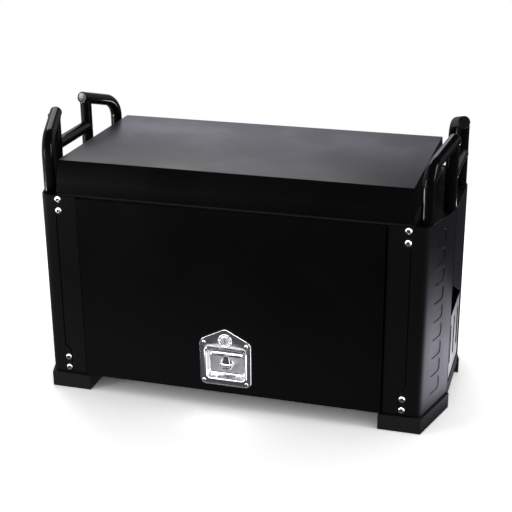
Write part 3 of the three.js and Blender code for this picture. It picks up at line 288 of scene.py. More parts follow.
link(sheet_edges, product(sheet_edges, on_edge, rubbed), group_out.inputs["Wear"])

orange_peel, group_in, group_out = new_group(
    "orange_peel",
    [("Scale", "NodeSocketFloat", 900.0), ("Cloud Scale", "NodeSocketFloat", 7.0)],
    [("Height", "NodeSocketFloat"), ("Clouds", "NodeSocketFloat")],
)
link(orange_peel, noise(orange_peel, group_in.outputs["Scale"], 3.0), group_out.inputs["Height"])
clouds = smooth_range(orange_peel, noise(orange_peel, group_in.outputs["Cloud Scale"], 3.0), 0.35, 0.65)
link(orange_peel, clouds, group_out.inputs["Clouds"])

settled_dust, group_in, group_out = new_group(
    "settled_dust",
    [("Scale", "NodeSocketFloat", 30.0)],
    [("Dust", "NodeSocketFloat")],
)
geometry = settled_dust.nodes.new("ShaderNodeNewGeometry")
facing_up = smooth_range(settled_dust, axes_of(settled_dust, geometry.outputs["Normal"])["Z"], 0.3, 1.0)
specks = smooth_range(settled_dust, noise(settled_dust, group_in.outputs["Scale"], 6.0), 0.5, 0.8)
link(settled_dust, product(settled_dust, facing_up, specks), group_out.inputs["Dust"])


def place_group(tree, group, **values):
    node = tree.nodes.new("ShaderNodeGroup")
    node.node_tree = group
    for name, value in values.items():
        node.inputs[name.replace("_", " ").title()].default_value = value
    return node


def mix_colour(tree, factor, first, second):
    node = value_node(tree, "ShaderNodeMix", data_type="RGBA")
    for socket, value in zip((node.inputs[0], node.inputs[6], node.inputs[7]), (factor, first, second)):
        feed(tree, value, socket)
    return node.outputs[2]


def new_material(name):
    material = bpy.data.materials.new(name)
    material.use_nodes = True
    tree = material.node_tree
    return material, tree, tree.nodes["Principled BSDF"]


def relief(tree, height, distance, strength, normal):
    bump = tree.nodes.new("ShaderNodeBump")
    bump.inputs["Distance"].default_value = distance
    bump.inputs["Strength"].default_value = strength
    link(tree, height, bump.inputs["Height"])
    link(tree, normal, bump.inputs["Normal"])
    return bump.outputs["Normal"]


def powder_coat(name, smoothest, roughest, peel_depth, edge=SHEET_EDGE, wear_share=0.35, pigment=PAINT, gloss=0.5):
    material, tree, paint = new_material(name)
    paint.inputs["Specular IOR Level"].default_value = gloss
    edges = place_group(tree, sheet_edges, radius=edge)
    peel = place_group(tree, orange_peel)
    dust = place_group(tree, settled_dust)
    worn = product(tree, edges.outputs["Wear"], wear_share)
    colour = mix_colour(tree, worn, pigment, PAINT_RUBBED)
    dusty = product(tree, dust.outputs["Dust"], 0.02)
    link(tree, mix_colour(tree, dusty, colour, DUST), paint.inputs["Base Color"])
    link(tree, smooth_range(tree, peel.outputs["Clouds"], 0.0, 1.0, smoothest, roughest), paint.inputs["Roughness"])
    normal = relief(tree, peel.outputs["Height"], peel_depth, 0.25, edges.outputs["Normal"])
    link(tree, normal, paint.inputs["Normal"])
    return material


def dress(names, material):
    for name in names:
        mesh = nodes[name].data
        mesh.materials.clear()
        mesh.materials.append(material)


sheet_paint = powder_coat("powder_coat_satin", 0.29, 0.35, 0.00010)
dress(["base_pan", "cabinet_shell", "top_tray", "lid_shell", "lid_brace", "cover_panel"], sheet_paint)
dress(["hinge_leaf_body", "hinge_leaf_lid"], sheet_paint)
dress([f"drawer_tray_{level}" for level in DRAWERS], sheet_paint)
# The posts take a paler copy of the satin coat: painted light, since the posts show brighter than the cover beside
# them.
lit_armour_paint = powder_coat("powder_coat_armour_lit", 0.31, 0.37, 0.00010, pigment=LIT_ARMOUR_PAINT)
dress([f"post_{corner}" for corner in CORNERS], lit_armour_paint)
deck_paint = powder_coat("powder_coat_deck", 0.45, 0.55, 0.00012, gloss=0.06)
dress(["handle_plate_left", "handle_plate_right"], deck_paint)


# Side skins: folded sheet with the same coat. Over each window is painted shade: a matt black field with three
# corners that stands for the shadow there, with the paint's gloss taken away. The field's upper edge falls to the
# rear.
SHADE_FIELD_LOW = 0.2068
SHADE_FIELD_MIDDLE = 0.2354
SHADE_FIELD_SLOPE = -0.483
SHADE_FIELD_BLACK = (0.001, 0.001, 0.001)


def paint_black_shade(tree, mask, black):
    """Makes a finished material matt black where the mask is 1, as painted shade."""
    body = tree.nodes["Principled BSDF"]
    before = body.inputs["Base Color"].links[0].from_socket
    link(tree, mix_colour(tree, mask, before, black), body.inputs["Base Color"])
    gloss = math_node(tree, "SUBTRACT", 0.5, product(tree, mask, 0.5))
    link(tree, gloss, body.inputs["Specular IOR Level"])


shaded_skin_paint = powder_coat("powder_coat_skin_shaded", 0.29, 0.35, 0.00010)
tree = shaded_skin_paint.node_tree
axes = axes_of(tree, place_in(tree))
shade_upper_edge = math_node(tree, "ADD", product(tree, axes["Y"], SHADE_FIELD_SLOPE), SHADE_FIELD_MIDDLE)
below_shade_edge = math_node(tree, "LESS_THAN", axes["Z"], shade_upper_edge)
# Painted shade: the field between its low height and its sloping upper edge turns matt black.
paint_black_shade(tree, product(tree, below_shade_edge, math_node(tree, "GREATER_THAN", axes["Z"], SHADE_FIELD_LOW)), SHADE_FIELD_BLACK)
dress(["side_skin_left", "side_skin_right"], shaded_skin_paint)


# Bends of the folded sheet: the CAD bends are short flat facets, which are shaded smooth here.
# Facets that meet at more than 30 degrees keep their hard edge.
HARD_ANGLE = math.radians(30)
WELD_DISTANCE = 0.00001
bend_tree = bpy.data.node_groups.new("smooth_bends", "GeometryNodeTree")
bend_tree.interface.new_socket(name="Geometry", in_out="INPUT", socket_type="NodeSocketGeometry")
bend_tree.interface.new_socket(name="Geometry", in_out="OUTPUT", socket_type="NodeSocketGeometry")
bend_tree.is_modifier = True
drop_normals = bend_tree.nodes.new("GeometryNodeRemoveAttribute")
drop_normals.inputs["Name"].default_value = "custom_normal"
weld_points = bend_tree.nodes.new("GeometryNodeMergeByDistance")
weld_points.inputs["Distance"].default_value = WELD_DISTANCE
faces_smooth = value_node(bend_tree, "GeometryNodeSetShadeSmooth", domain="FACE")
edges_hard = value_node(bend_tree, "GeometryNodeSetShadeSmooth", domain="EDGE")
edges_hard.inputs["Shade Smooth"].default_value = False
angle = bend_tree.nodes.new("GeometryNodeInputMeshEdgeAngle")
sharp = value_node(bend_tree, "FunctionNodeCompare", operation="GREATER_THAN")
sharp.inputs[1].default_value = HARD_ANGLE
link(bend_tree, angle.outputs["Unsigned Angle"], sharp.inputs[0])
link(bend_tree, sharp.outputs[0], edges_hard.inputs["Selection"])
chain = [bend_tree.nodes.new("NodeGroupInput"), drop_normals, weld_points, faces_smooth, edges_hard]
chain.append(bend_tree.nodes.new("NodeGroupOutput"))
for before, after in zip(chain, chain[1:]):
    link(bend_tree, before.outputs[0], after.inputs[0])


def smooth_bends(piece):
    modifier = piece.modifiers.new("smooth_bends", "NODES")
    modifier.node_group = bend_tree


for node in nodes.values():
    smooth_bends(node)


# Feet: four corner blocks moulded in hard black rubber, screwed up into the base pan. The rubber is matt, with a
# faint mottle from the mould. The lid's seal is of the same rubber, pressed on the rain rim.
def moulded(name, colour, roughness, mottle_scale, depth, edge):
    material, tree, body = new_material(name)
    edges = place_group(tree, sheet_edges, radius=edge)
    grain = noise(tree, mottle_scale, 4.0)
    dust = place_group(tree, settled_dust)
    pale = tuple(channel * 1.8 for channel in colour)
    tinted = mix_colour(tree, smooth_range(tree, grain, 0.3, 0.7), colour, pale)
    dusty = product(tree, dust.outputs["Dust"], 0.05)
    link(tree, mix_colour(tree, dusty, tinted, DUST), body.inputs["Base Color"])
    link(tree, smooth_range(tree, grain, 0.3, 0.7, roughness - 0.05, roughness + 0.05), body.inputs["Roughness"])
    link(tree, relief(tree, grain, depth, 0.4, edges.outputs["Normal"]), body.inputs["Normal"])
    return material


rubber = moulded("moulded_rubber", (0.024, 0.024, 0.024), 0.62, 700.0, 0.00012, 0.0015)
dress([f"foot_{corner}" for corner in CORNERS], rubber)
dress(["lid_seal"], rubber)


# Zinc plated steel: the drawer racks, the latch's cam and strike, the hinge pin and the rods of the gas struts.
# Cloudy plating over fine lines from the rolling mill or the lathe.
rolled_lines, group_in, group_out = new_group(
    "rolled_lines",
    [("Stretch", "NodeSocketVector", (30.0, 900.0, 900.0))],
    [("Height", "NodeSocketFloat"), ("Streaks", "NodeSocketFloat")],
)
stretched = value_node(rolled_lines, "ShaderNodeVectorMath", operation="MULTIPLY")
link(rolled_lines, place_in(rolled_lines), stretched.inputs[0])
link(rolled_lines, group_in.outputs["Stretch"], stretched.inputs[1])
lines = noise(rolled_lines, 1.0, 3.0, stretched.outputs[0])
link(rolled_lines, lines, group_out.inputs["Height"])
link(rolled_lines, smooth_range(rolled_lines, lines, 0.35, 0.65), group_out.inputs["Streaks"])


def bare_metal(name, colour, dull, smoothest, roughest, stretch):
    material, tree, metal = new_material(name)
    metal.inputs["Metallic"].default_value = 1
    edges = place_group(tree, sheet_edges, radius=0.0006)
    lines = place_group(tree, rolled_lines, stretch=stretch)
    clouds = place_group(tree, orange_peel, cloud_scale=25.0)
    link(tree, mix_colour(tree, clouds.outputs["Clouds"], colour, dull), metal.inputs["Base Color"])
    rough = smooth_range(tree, lines.outputs["Streaks"], 0.0, 1.0, smoothest, roughest)
    link(tree, rough, metal.inputs["Roughness"])
    link(tree, relief(tree, lines.outputs["Height"], 0.00003, 0.3, edges.outputs["Normal"]), metal.inputs["Normal"])
    return material


zinc = bare_metal("zinc_plate", (0.50, 0.52, 0.54), (0.40, 0.42, 0.45), 0.30, 0.42, (700.0, 20.0, 700.0))
dress(["slide_rack_left", "slide_rack_right", "latch_strike", "latch_cam", "hinge_pin"], zinc)
dress(["strut_rod_left", "strut_rod_right"], zinc)


# Drawer pulls: extruded aluminium with lines along its length, riveted to the drawers' fronts.
pull_metal = bare_metal("pull_extrusion", (0.55, 0.56, 0.57), (0.48, 0.49, 0.50), 0.28, 0.4, (15.0, 900.0, 900.0))
dress([f"drawer_pull_{level}" for level in DRAWERS], pull_metal)


# Window panels: galvanised sheet behind the window of each side skin, with three upright slots punched in it.
# The slots' cut edges and a band round each slot are painted shade, near black and not metallic, for the shadow in
# and round the slots.
SLOT_PLACES = (-0.052, 0.0, 0.052)
SLOT_SHADE_REACH = 0.0095
SLOT_LOW, SLOT_HIGH = 0.0864, 0.1736
SLOT_SHADE_BLACK = (0.012, 0.012, 0.012)
vent_metal = bare_metal("vent_sheet", (0.66, 0.66, 0.64), (0.54, 0.54, 0.53), 0.45, 0.6, (700.0, 700.0, 20.0))
tree = vent_metal.node_tree
facing = axes_of(tree, tree.nodes.new("ShaderNodeNewGeometry").outputs["Normal"])
shaded_cut_edge = smooth_range(tree, math_node(tree, "ABSOLUTE", facing["X"]), 0.7, 0.3)
axes = axes_of(tree, place_in(tree))
off_slots = [math_node(tree, "ABSOLUTE", math_node(tree, "SUBTRACT", axes["Y"], slot)) for slot in SLOT_PLACES]
nearest = off_slots[0]
for off_slot in off_slots[1:]:
    nearest = math_node(tree, "MINIMUM", nearest, off_slot)
beside_slot_shade = math_node(tree, "LESS_THAN", nearest, SLOT_SHADE_REACH)
above = math_node(tree, "GREATER_THAN", axes["Z"], SLOT_LOW)
below = math_node(tree, "LESS_THAN", axes["Z"], SLOT_HIGH)
# Painted shade: every cut edge of the sheet, and the bands beside the slots, turn matt black.
slot_shade_mask = greatest(tree, shaded_cut_edge, product(tree, beside_slot_shade, above, below))
paint_black_shade(tree, slot_shade_mask, SLOT_SHADE_BLACK)
link(tree, math_node(tree, "SUBTRACT", 1.0, slot_shade_mask), tree.nodes["Principled BSDF"].inputs["Metallic"])
dress(["vent_panel_left", "vent_panel_right"], vent_metal)


# Side handles: round steel tube, bent and coped before it is painted a little glossier than the box. Two horns,
# two stanchions and a grip on each side are welded together and to the plate below, with a bead at each joint.
# Plastic plugs are pressed into the horns' open ends.
TUBE_RADIUS = 0.0127
TUBE_SIDES = 44
HORN_BEND = 0.046
HORN_BEND_STEPS = 26
HORN_FOOT = Vector((0.3926, 0.1803, 0.4362))
HORN_CORNER = Vector((0.3926, 0.1803, 0.5428))
HORN_END = Vector((0.4234, 0.0686, 0.5750))
STANCHION_FOOT = Vector((0.4219, 0.0803, 0.4362))
STANCHION_TOP = Vector((0.4219, 0.0803, 0.5660))
GRIP_HEIGHT = 0.5068
WELD_RADIUS = 0.0011
WELD_RIPPLE = 0.22
WELD_POINTS = 120
WELD_SIDES = 10


def light_group(name):
    """A collection of the pieces that a lamp of their own lights."""
    group = bpy.data.collections.new(name)
    bpy.context.scene.collection.children.link(group)
    return group


bright_parts = light_group("bright_parts")
latch_parts = light_group("latch_parts")
tube_parts = light_group("tube_parts")
plug_parts = light_group("plug_parts")
LIGHT_GROUPS = {
    "latch_stainless": (bright_parts, latch_parts),
    "zinc_steel": (bright_parts,),
    "tube_paint": (tube_parts,),
    "cap_plastic": (plug_parts,),
}


def mirrored_path(points, side, end):
    return [Vector((point.x * side, point.y * end, point.z)) for point in points]


def new_piece(name, vertices, faces, material, body, slot, stands_for=()):
    mesh = bpy.data.meshes.new(name)
    mesh.from_pydata([tuple(vertex) for vertex in vertices], [], faces)
    shape = bmesh.new()
    shape.from_mesh(mesh)
    bmesh.ops.recalc_face_normals(shape, faces=shape.faces)
    shape.to_mesh(mesh)
    shape.free()
    mesh.materials.append(material)
    piece = bpy.data.objects.new(name, mesh)
    bpy.context.scene.collection.objects.link(piece)
    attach(piece, body)
    if stands_for:
        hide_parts(*stands_for)
    for group in LIGHT_GROUPS[slot]:
        group.objects.link(piece)
    smooth_bends(piece)
    return piece


def turns(count):
    return [2 * math.pi * step / count for step in range(count)]


def ring_round(middle, across, other, radii):
    ring = []
    for turn, radius in zip(turns(len(radii)), radii):
        ring.append(middle + (across * math.cos(turn) + other * math.sin(turn)) * radius)
    return ring


def skin_rings(rings, closed=False, ends=True):
    """Faces between rings that all have the same number of points, with the first and last ring filled."""
    size = len(rings[0])
    vertices = [point for ring in rings for point in ring]
    bands = len(rings) if closed else len(rings) - 1
    faces = []
    for band in range(bands):
        here, there = band * size, (band + 1) % len(rings) * size
        for step in range(size):
            after = (step + 1) % size
            faces.append((here + step, here + after, there + after, there + step))
    if ends and not closed:
        faces.append(tuple(range(size)))
        faces.append(tuple(range((len(rings) - 1) * size, len(rings) * size)))
    return vertices, faces


def swept(path, radii, sides, closed=False):
    rings = []
    across = None
    for index, point in enumerate(path):
        before = path[index - 1] if index or closed else point
        after = path[(index + 1) % len(path)] if index < len(path) - 1 or closed else point
        along = (after - before).normalized()
        across = along.orthogonal() if across is None else across - along * across.dot(along)
        across.normalize()
        rings.append(ring_round(point, across, along.cross(across), [radii[index]] * sides))
    return skin_rings(rings, closed)


def bent(first, corner, last, radius, steps):
    """A path with a round bend in place of its corner."""
    arriving = (corner - first).normalized()
    leaving = (last - corner).normalized()
    half = arriving.angle(leaving) / 2
    reach = radius * math.tan(half)
    middle = corner + (leaving - arriving).normalized() * radius / math.cos(half)
    start = corner - arriving * reach - middle
    axis = arriving.cross(leaving)
    points = [first]
    for step in range(steps + 1):
        points.append(middle + Matrix.Rotation(2 * half * step / steps, 3, axis) @ start)
    return points + [last]


def turned(profile, place, along, sides):
    """A turned shape: its profile is a list of (radius, height along the axis)."""
    across = along.orthogonal().normalized()
    other = along.cross(across)
    rings = [ring_round(place + along * height, across, other, [radius] * sides) for radius, height in profile]
    return skin_rings(rings)


def handle_tube(name, path, stands_for):
    shape = swept(path, [TUBE_RADIUS] * len(path), TUBE_SIDES)
    new_piece(name, *shape, tube_paint, "cabinet", "tube_paint", [stands_for])


def weld_bead(name, line):
    ripple = [WELD_RADIUS * (1 + WELD_RIPPLE * math.sin(index * math.pi / 2)) for index in range(len(line))]
    new_piece(name, *swept(line, ripple, WELD_SIDES, closed=True), tube_paint, "cabinet", "tube_paint")


def horn_weld():
    """Where the stanchion's surface meets the round of the horn above it."""
    along = (HORN_END - HORN_CORNER).normalized()
    line = []
    for turn in turns(WELD_POINTS):
        base = Vector((STANCHION_FOOT.x, STANCHION_FOOT.y, 0))
        base += Vector((math.cos(turn), math.sin(turn), 0)) * TUBE_RADIUS
        offset = base - HORN_END
        # The squared distance to the horn's axis, as a second order expression in the height over the base.
        lead = 1 - along.z**2
        linear = 2 * (offset.z - along.z * offset.dot(along))
        constant = offset.length_squared - offset.dot(along) ** 2 - TUBE_RADIUS**2
        root = math.sqrt(max(linear**2 - 4 * lead * constant, 0))
        line.append(base + Vector((0, 0, (-linear - root) / (2 * lead))))
    return line


def grip_weld():
    """Where the grip's surface meets the round of the stanchion."""
    line = []
    for turn in turns(WELD_POINTS):
        reach = TUBE_RADIUS * abs(math.cos(turn))
        x = STANCHION_FOOT.x + TUBE_RADIUS * math.sin(turn)
        line.append(Vector((x, STANCHION_FOOT.y - reach, GRIP_HEIGHT + TUBE_RADIUS * math.cos(turn))))
    return line


def foot_weld(foot):
    reach = TUBE_RADIUS + WELD_RADIUS / 3
    return [foot + Vector((math.cos(turn), math.sin(turn), 0)) * reach for turn in turns(WELD_POINTS)]


tube_paint = powder_coat("powder_coat_tube", 0.10, 0.14, 0.00002, 0.0008, 0.2)
plug_plastic = moulded("moulded_plug", (0.012, 0.012, 0.012), 0.3, 900.0, 0.000008, 0.0012)
horn_path = bent(HORN_FOOT, HORN_CORNER, HORN_END, HORN_BEND, HORN_BEND_STEPS)
plug_profile = [(0.0104, -0.010), (0.0104, 0.0001), (0.0124, 0.0001), (0.0127, 0.0005), (0.0127, 0.0019)]
plug_profile += [(0.0124, 0.0025), (0.0117, 0.0029), (0.0108, 0.0029), (0.0100, 0.0024), (0.0092, 0.0022)]
plug_profile += [(0.0001, 0.0022)]
beads = {"horn_foot": foot_weld(HORN_FOOT), "stanchion_foot": foot_weld(STANCHION_FOOT)}
beads |= {"horn": horn_weld(), "grip": grip_weld()}
for side, x in SIDES:
    grip_path = [Vector((STANCHION_FOOT.x * x, STANCHION_FOOT.y * y, GRIP_HEIGHT)) for _, y in ENDS]
    handle_tube(f"grip_tube_{side}", grip_path, f"grip_{side}")
    for end, y in ENDS:
        where = f"{end}_{side}"
        handle_tube(f"horn_tube_{where}", mirrored_path(horn_path, x, y), f"horn_{where}")
        stanchion_path = mirrored_path([STANCHION_FOOT, STANCHION_TOP], x, y)
        handle_tube(f"stanchion_tube_{where}", stanchion_path, f"stanchion_{where}")
        tip, corner = mirrored_path([HORN_END, HORN_CORNER], x, y)
        plug = turned(plug_profile, tip, (tip - corner).normalized(), TUBE_SIDES)
        new_piece(f"plug_{where}", *plug, plug_plastic, "cabinet", "cap_plastic", [f"end_cap_{where}"])
        for joint, line in beads.items():
            weld_bead(f"weld_{joint}_{where}", mirrored_path(line, x, y))


# Gas struts: drawn steel cylinders in the handles' glossy black paint, clipped on ball studs at both ends.
dress(["strut_cylinder_left", "strut_cylinder_right"], tube_paint)


# Screws: bright zinc plated button heads with a hexagon socket, two over two at each corner of the front and the
# rear. They clamp the armour to the flanges of the cabinet.
SCREW_X = 0.363
SCREW_HEIGHTS = (0.0475, 0.0720, 0.4062, 0.4308)
SCREW_FACE = 0.210
SCREW_SIDES = 36
SOCKET_HALF = 0.0025
SOCKET_MOUTH, SOCKET_FLOOR = 0.0035, 0.0012


def screw_head(place, outward):
    """A domed head with a rolled lower edge and a hexagon socket sunk in its middle."""
    across = Vector((1, 0, 0))
    other = outward.cross(across)
    dome = [(0.0064, 0.0), (0.0069, 0.0003), (0.0070, 0.0009), (0.0067, 0.0017), (0.0060, 0.0025), (0.0050, 0.0032)]
    dome += [(0.0040, 0.0036), (0.0033, 0.0037)]
    rings = [ring_round(place + outward * height, across, other, [radius] * SCREW_SIDES) for radius, height in dome]
    within = [(turn + math.pi / 6) % (math.pi / 3) - math.pi / 6 for turn in turns(SCREW_SIDES)]
    hexagon = [SOCKET_HALF / math.cos(angle) for angle in within]
    for height in (SOCKET_MOUTH, SOCKET_FLOOR):
        rings.append(ring_round(place + outward * height, across, other, hexagon))
    return skin_rings(rings)


screw_zinc = bare_metal("screw_zinc", (0.86, 0.87, 0.88), (0.78, 0.80, 0.82), 0.22, 0.32, (900.0, 900.0, 900.0))
# The sockets' walls and floors get a near black matt material: painted shade inside the sockets.
socket_shade = moulded("screw_socket_shade", (0.01, 0.01, 0.01), 0.6, 900.0, 0.00002, 0.0002)
for side, x in SIDES:
    for end, y in ENDS:
        for number, height in enumerate(SCREW_HEIGHTS, 1):
            place = Vector((SCREW_X * x, SCREW_FACE * y, height))
            head = screw_head(place, Vector((0, y, 0)))
            screw = new_piece(f"screw_{end}_{side}_{number}", *head, screw_zinc, "cabinet", "zinc_steel")
            screw.data.materials.append(socket_shade)
            for face in screw.data.polygons:
                off_axis = (face.center - place).xz.length
                face.material_index = int(off_axis < SOCKET_HALF * 1.2)


# Latch: a stainless plate with a pressed dish, rolled rims and a lock, held by four domed rivets. The sheet is
# mirror polished, with a brushed floor to the dish, and the lock's plug is brushed steel.
LATCH_X = -0.005
DISH_LOW, DISH_HIGH = 0.0697, 0.1363
DISH_HALF = 0.041
DISH_CORNER = 0.008
SPINDLE_HEIGHT = 0.0987
LOCK_HEIGHT = 0.1574
PLATE_HALF = 0.0555
PLATE_LOW, PLATE_SHOULDER, PLATE_APEX = 0.054, 0.156, 0.1848
PLATE_CORNER, SHOULDER_CORNER, APEX_CORNER = 0.013, 0.016, 0.015
PLATE_FACE = -0.2173
LATCH_ANGLES = 288
LATCH_MIDDLE = Vector((LATCH_X, 0.103))
TURNED_SIDES = 64
RIVETS = ((-0.0510, 0.1505), (0.0405, 0.1505), (-0.0520, 0.0635), (0.0400, 0.0635))


def rounded_outline(corners, radii, steps=10):
    points = []
    count = len(corners)
    for index, radius in enumerate(radii):
        corner, before, after = (Vector(corners[(index + step) % count]) for step in (0, -1, 1))
        arriving, leaving = (corner - before).normalized(), (after - corner).normalized()
        half = arriving.angle(leaving) / 2
        middle = corner + (leaving - arriving).normalized() * radius / math.cos(half)
        first = corner - arriving * radius * math.tan(half) - middle
        turn = math.copysign(2 * half, arriving.cross(leaving))
        for step in range(steps + 1):
            share = turn * step / steps
            across = first.x * math.cos(share) - first.y * math.sin(share)
            up = first.x * math.sin(share) + first.y * math.cos(share)
            points.append(middle + Vector((across, up)))
    return points


def rays_to(outline, centre):
    """The outline's points at evenly spaced angles round a centre, so that rings of unlike shape match up."""
    found = []
    count = len(outline)
    for turn in turns(LATCH_ANGLES):
        ray = Vector((math.cos(turn), math.sin(turn)))
        best = None
        for index in range(count):
            first, second = outline[index] - centre, outline[(index + 1) % count] - centre
            edge = second - first
            below = ray.cross(edge)
            if abs(below) < 1e-12:
                continue
            reach, share = first.cross(edge) / below, first.cross(ray) / below
            if reach > 0 and -1e-6 <= share <= 1 + 1e-6:
                best = reach if best is None else max(best, reach)
        found.append(centre + ray * best)
    return found


def plate_ring(inset, depth):
    lean = math.atan2(PLATE_APEX - PLATE_SHOULDER, PLATE_HALF)
    shoulder = PLATE_SHOULDER - inset * math.tan((math.pi / 2 - lean) / 2)
    apex = PLATE_APEX - inset / math.cos(lean)
    left, right = LATCH_X - PLATE_HALF + inset, LATCH_X + PLATE_HALF - inset
    low = PLATE_LOW + inset
    corners = [(left, low), (right, low), (right, shoulder), (LATCH_X, apex), (left, shoulder)]
    radii = [radius - inset for radius in (PLATE_CORNER, PLATE_CORNER, SHOULDER_CORNER, APEX_CORNER, SHOULDER_CORNER)]
    return rounded_outline(corners, radii), depth


def dish_ring(inset, bottom_inset, depth):
    left, right = LATCH_X - DISH_HALF + inset, LATCH_X + DISH_HALF - inset
    low, high = DISH_LOW + bottom_inset, DISH_HIGH - inset
    corner = max(DISH_CORNER - inset * 0.5, 0.003)
    return rounded_outline([(left, low), (right, low), (right, high), (left, high)], [corner] * 4), depth


def round_ring(radius, depth):
    middle = Vector((LATCH_X, SPINDLE_HEIGHT))
    return ring_round(middle, Vector((1, 0)), Vector((0, 1)), [radius] * TURNED_SIDES), depth


def latch_rings(profile):
    rings = []
    for outline, depth in profile:
        rings.append([Vector((point.x, PLATE_FACE + depth, point.y)) for point in rays_to(outline, LATCH_MIDDLE)])
    return skin_rings(rings, ends=False)


plate_profile = [plate_ring(0.0, 0.0019), plate_ring(0.0, 0.0007), plate_ring(0.0003, 0.0001)]
plate_profile += [plate_ring(0.0009, -0.0004), plate_ring(0.0017, -0.0005), plate_ring(0.0026, -0.0002)]
plate_profile += [plate_ring(0.0032, 0.0)]
rim_steps = [(-0.0054, 0.0), (-0.0047, -0.0002), (-0.0038, -0.0008), (-0.0028, -0.0012), (-0.0018, -0.0012)]
rim_steps += [(-0.0008, -0.0007), (0.0, 0.0003)]
plate_profile += [dish_ring(inset, inset, depth) for inset, depth in rim_steps]
plate_profile += [dish_ring(0.0005, 0.0007, 0.0020), dish_ring(0.0024, 0.0062, 0.0110)]
plate_profile += [dish_ring(0.0028, 0.0075, 0.0124), dish_ring(0.0036, 0.0090, 0.0132)]
plate_profile.append(dish_ring(0.0048, 0.0105, 0.0135))
floor_profile = [dish_ring(0.0048, 0.0105, 0.0135), round_ring(0.0072, 0.0135), round_ring(0.0072, 0.0145)]
polished = bare_metal("polished_stainless", (0.70, 0.70, 0.71), (0.62, 0.62, 0.63), 0.10, 0.2, (40.0, 500.0, 500.0))
brushed = bare_metal("brushed_floor", (0.82, 0.82, 0.83), (0.74, 0.74, 0.75), 0.36, 0.50, (900.0, 500.0, 60.0))
new_piece("latch_plate", *latch_rings(plate_profile), polished, "cover", "latch_stainless", ["latch_dish"])
new_piece("dish_floor", *latch_rings(floor_profile), brushed, "cover", "latch_stainless")
outward = Vector((0, -1, 0))
collar_profile = [(0.0152, 0.0), (0.0150, 0.0010), (0.0146, 0.0017), (0.0139, 0.0021), (0.0130, 0.0021)]
collar_profile += [(0.0122, 0.0016), (0.0116, 0.0009), (0.0110, 0.0007), (0.0104, 0.0010), (0.0098, 0.0016)]
collar_profile += [(0.0090, 0.0018), (0.0083, 0.0014), (0.0082, 0.0004), (0.0082, -0.0060)]
collar = turned(collar_profile, Vector((LATCH_X, PLATE_FACE, LOCK_HEIGHT)), outward, TURNED_SIDES)
new_piece("lock_collar", *collar, polished, "cover", "latch_stainless")
rivet_profile = [(0.0040, 0.0), (0.0040, 0.0004), (0.0036, 0.0012), (0.0028, 0.0018), (0.0017, 0.0021)]
rivet_profile += [(0.0002, 0.0022)]
for number, (x, z) in enumerate(RIVETS, 1):
    head = turned(rivet_profile, Vector((x, PLATE_FACE, z)), outward, 28)
    new_piece(f"latch_rivet_{number}", *head, polished, "cover", "latch_stainless")
lock_steel = bare_metal("brushed_stainless", (0.78, 0.78, 0.79), (0.70, 0.70, 0.71), 0.36, 0.46, (40.0, 500.0, 500.0))
dress(["lock_plug"], lock_steel)
for group in LIGHT_GROUPS["latch_stainless"]:
    group.objects.link(nodes["lock_plug"])


# T handle: a thick polished cross bar on a flat tapered stem, turning on a pin between the two ears of the spindle.
# The spindle's flange is a turned cup that lies on the floor of the dish.
PIVOT_Y = -0.2105
BAR_HALF = 0.0365
BAR_ROUNDING = 0.0325
BAR_HALF_DEPTH, BAR_HALF_HEIGHT = 0.0035, 0.0041
BAR_HEIGHT = 0.124
BAR_LEAN = 0.55
STEM_HALF_DEPTH = 0.0025
FLANGE_Y = -0.2041
EAR_Y = -0.2098
EAR_INNER, EAR_OUTER = 0.0090, 0.0130
EAR_HALF_DEPTH, EAR_HALF_HEIGHT = 0.0050, 0.0055
LOFT_SIDES = 32


def merged(*shapes):
    vertices, faces = [], []
    for more_vertices, more_faces in shapes:
        start = len(vertices)
        vertices += more_vertices
        faces += [tuple(start + index for index in face) for face in more_faces]
    return vertices, faces


def lofted(sections, place):
    """Sections along a line: each is (distance, half width, half height, power), with a round for power 1 and a
    squarer form below it. The function place puts their points in space."""
    rings = []
    for distance, half_width, half_height, power in sections:
        ring = []
        for turn in turns(LOFT_SIDES):
            across = math.copysign(abs(math.cos(turn)) ** power, math.cos(turn)) * half_width
            up = math.copysign(abs(math.sin(turn)) ** power, math.sin(turn)) * half_height
            ring.append(place(distance, across, up))
        rings.append(ring)
    return skin_rings(rings)


def along_bar(distance, across, up):
    """The bar's front leans back towards its top, so that it faces a little upwards."""
    lean = BAR_LEAN * (up + BAR_HALF_HEIGHT) * (0.5 - across / (2 * BAR_HALF_DEPTH))
    return Vector((LATCH_X + distance, PIVOT_Y + across + lean, BAR_HEIGHT + up))


def up_stem(height, across, depth):
    return Vector((LATCH_X + across, PIVOT_Y + depth, height))


def along_pin(distance, across, up):
    return Vector((LATCH_X + distance, PIVOT_Y + across, SPINDLE_HEIGHT + up))


def along_ear(distance, across, up):
    return Vector((LATCH_X + distance, EAR_Y + across, SPINDLE_HEIGHT + up))


def along_shaft(y, across, up):
    return Vector((LATCH_X + across, y, SPINDLE_HEIGHT + up))


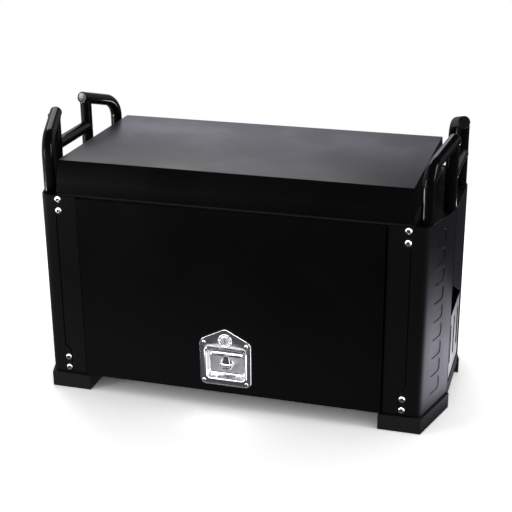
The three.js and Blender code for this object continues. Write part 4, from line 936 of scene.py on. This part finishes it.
bar_sections = []
for share in (-1.0, -0.92, -0.75, -0.5, -0.2, 0.2, 0.5, 0.75, 0.92, 1.0):
    past = max(abs(share) * BAR_HALF - BAR_ROUNDING, 0)
    rounding = math.sqrt(max(1 - past**2 / BAR_HALF_HEIGHT**2, 0.01))
    bar_sections.append((share * BAR_HALF, BAR_HALF_DEPTH * rounding, BAR_HALF_HEIGHT * rounding, 0.45))
cross_bar = lofted(bar_sections, along_bar)
stem_stations = ((SPINDLE_HEIGHT, 0.0087), (0.1030, 0.0084), (0.1215, 0.0060))
stem = lofted([(height, half, STEM_HALF_DEPTH, 0.4) for height, half in stem_stations], up_stem)
barrel_stations = ((-0.0087, 0.0040), (-0.0082, 0.0045), (0.0082, 0.0045), (0.0087, 0.0040))
barrel = lofted([(distance, radius, radius, 1) for distance, radius in barrel_stations], along_pin)
pin = lofted([(distance, 0.0020, 0.0020, 1) for distance in (-0.0136, 0.0136)], along_pin)
t_handle = merged(cross_bar, stem, barrel, pin)
new_piece("t_handle_bar", *t_handle, polished, "t_handle", "latch_stainless", ["t_handle"])
flange_profile = [(0.0150, 0.0), (0.0150, 0.0018), (0.0147, 0.0026), (0.0141, 0.0032), (0.0133, 0.0034)]
flange_profile += [(0.0125, 0.0031), (0.0119, 0.0023), (0.0116, 0.0012), (0.0110, 0.0007), (0.0002, 0.0006)]
cup = turned(flange_profile, Vector((LATCH_X, FLANGE_Y, SPINDLE_HEIGHT)), outward, TURNED_SIDES)
ears = []
for side in (-1, 1):
    ear_stations = ((EAR_INNER, 0.92), (EAR_INNER + 0.0004, 1.0), (EAR_OUTER - 0.0006, 1.0), (EAR_OUTER, 0.9))
    ear_sections = [(side * x, EAR_HALF_DEPTH * scale, EAR_HALF_HEIGHT * scale, 0.5) for x, scale in ear_stations]
    ears.append(lofted(ear_sections, along_ear))
shaft_stations = ((-0.2045, 0.0045), (-0.1930, 0.0045), (-0.1926, 0.0041))
shaft = lofted([(y, half, half, 0.12) for y, half in shaft_stations], along_shaft)
new_piece("spindle_cup", *merged(cup, *ears, shaft), polished, "cover", "latch_stainless", ["latch_spindle"])


# Cards: small soft boxes that each light one group of pieces alone, so that the black paint round them stays dark.
# Some stand over the camera and to its sides, and some lie on the floor and face up.
CARDS = (
    (bright_parts, "card_top", (-0.2, -0.9, 1.2), (0, -0.2, 0.1), 2.0, 1.2, 40),
    (bright_parts, "card_left", (-1.0, -0.7, 0.35), (0, -0.2, 0.1), 0.9, 1.0, 13),
    (bright_parts, "card_right", (1.0, -0.7, 0.35), (0, -0.2, 0.1), 0.9, 1.0, 11),
    (latch_parts, "card_floor_left", (-0.62, -0.36, 0.004), (-0.62, -0.36, 1.0), 0.7, 0.28, 2.0),
    (latch_parts, "card_floor_right", (0.34, -0.36, 0.004), (0.34, -0.36, 1.0), 0.5, 0.28, 1.4),
    (latch_parts, "card_floor_front", (-0.2, -1.05, 0.004), (-0.2, -1.05, 1.0), 1.4, 0.8, 5.0),
    (plug_parts, "card_plugs", (-1.52, -0.96, 0.63), (-0.42, 0.07, 0.575), 0.6, 0.6, 22.0),
    (tube_parts, "strip_left", (-0.95, -0.78, 0.004), (-0.95, -0.78, 1.0), 1.5, 0.3, 20.0),
    (tube_parts, "strip_right", (0.62, 0.85, 0.004), (0.62, 0.85, 1.0), 0.36, 0.8, 9.0),
)
for parts, *card in CARDS:
    lamp = soft_box(*card)
    lamp.light_linking.receiver_collection = parts
    lamp.visible_camera = False
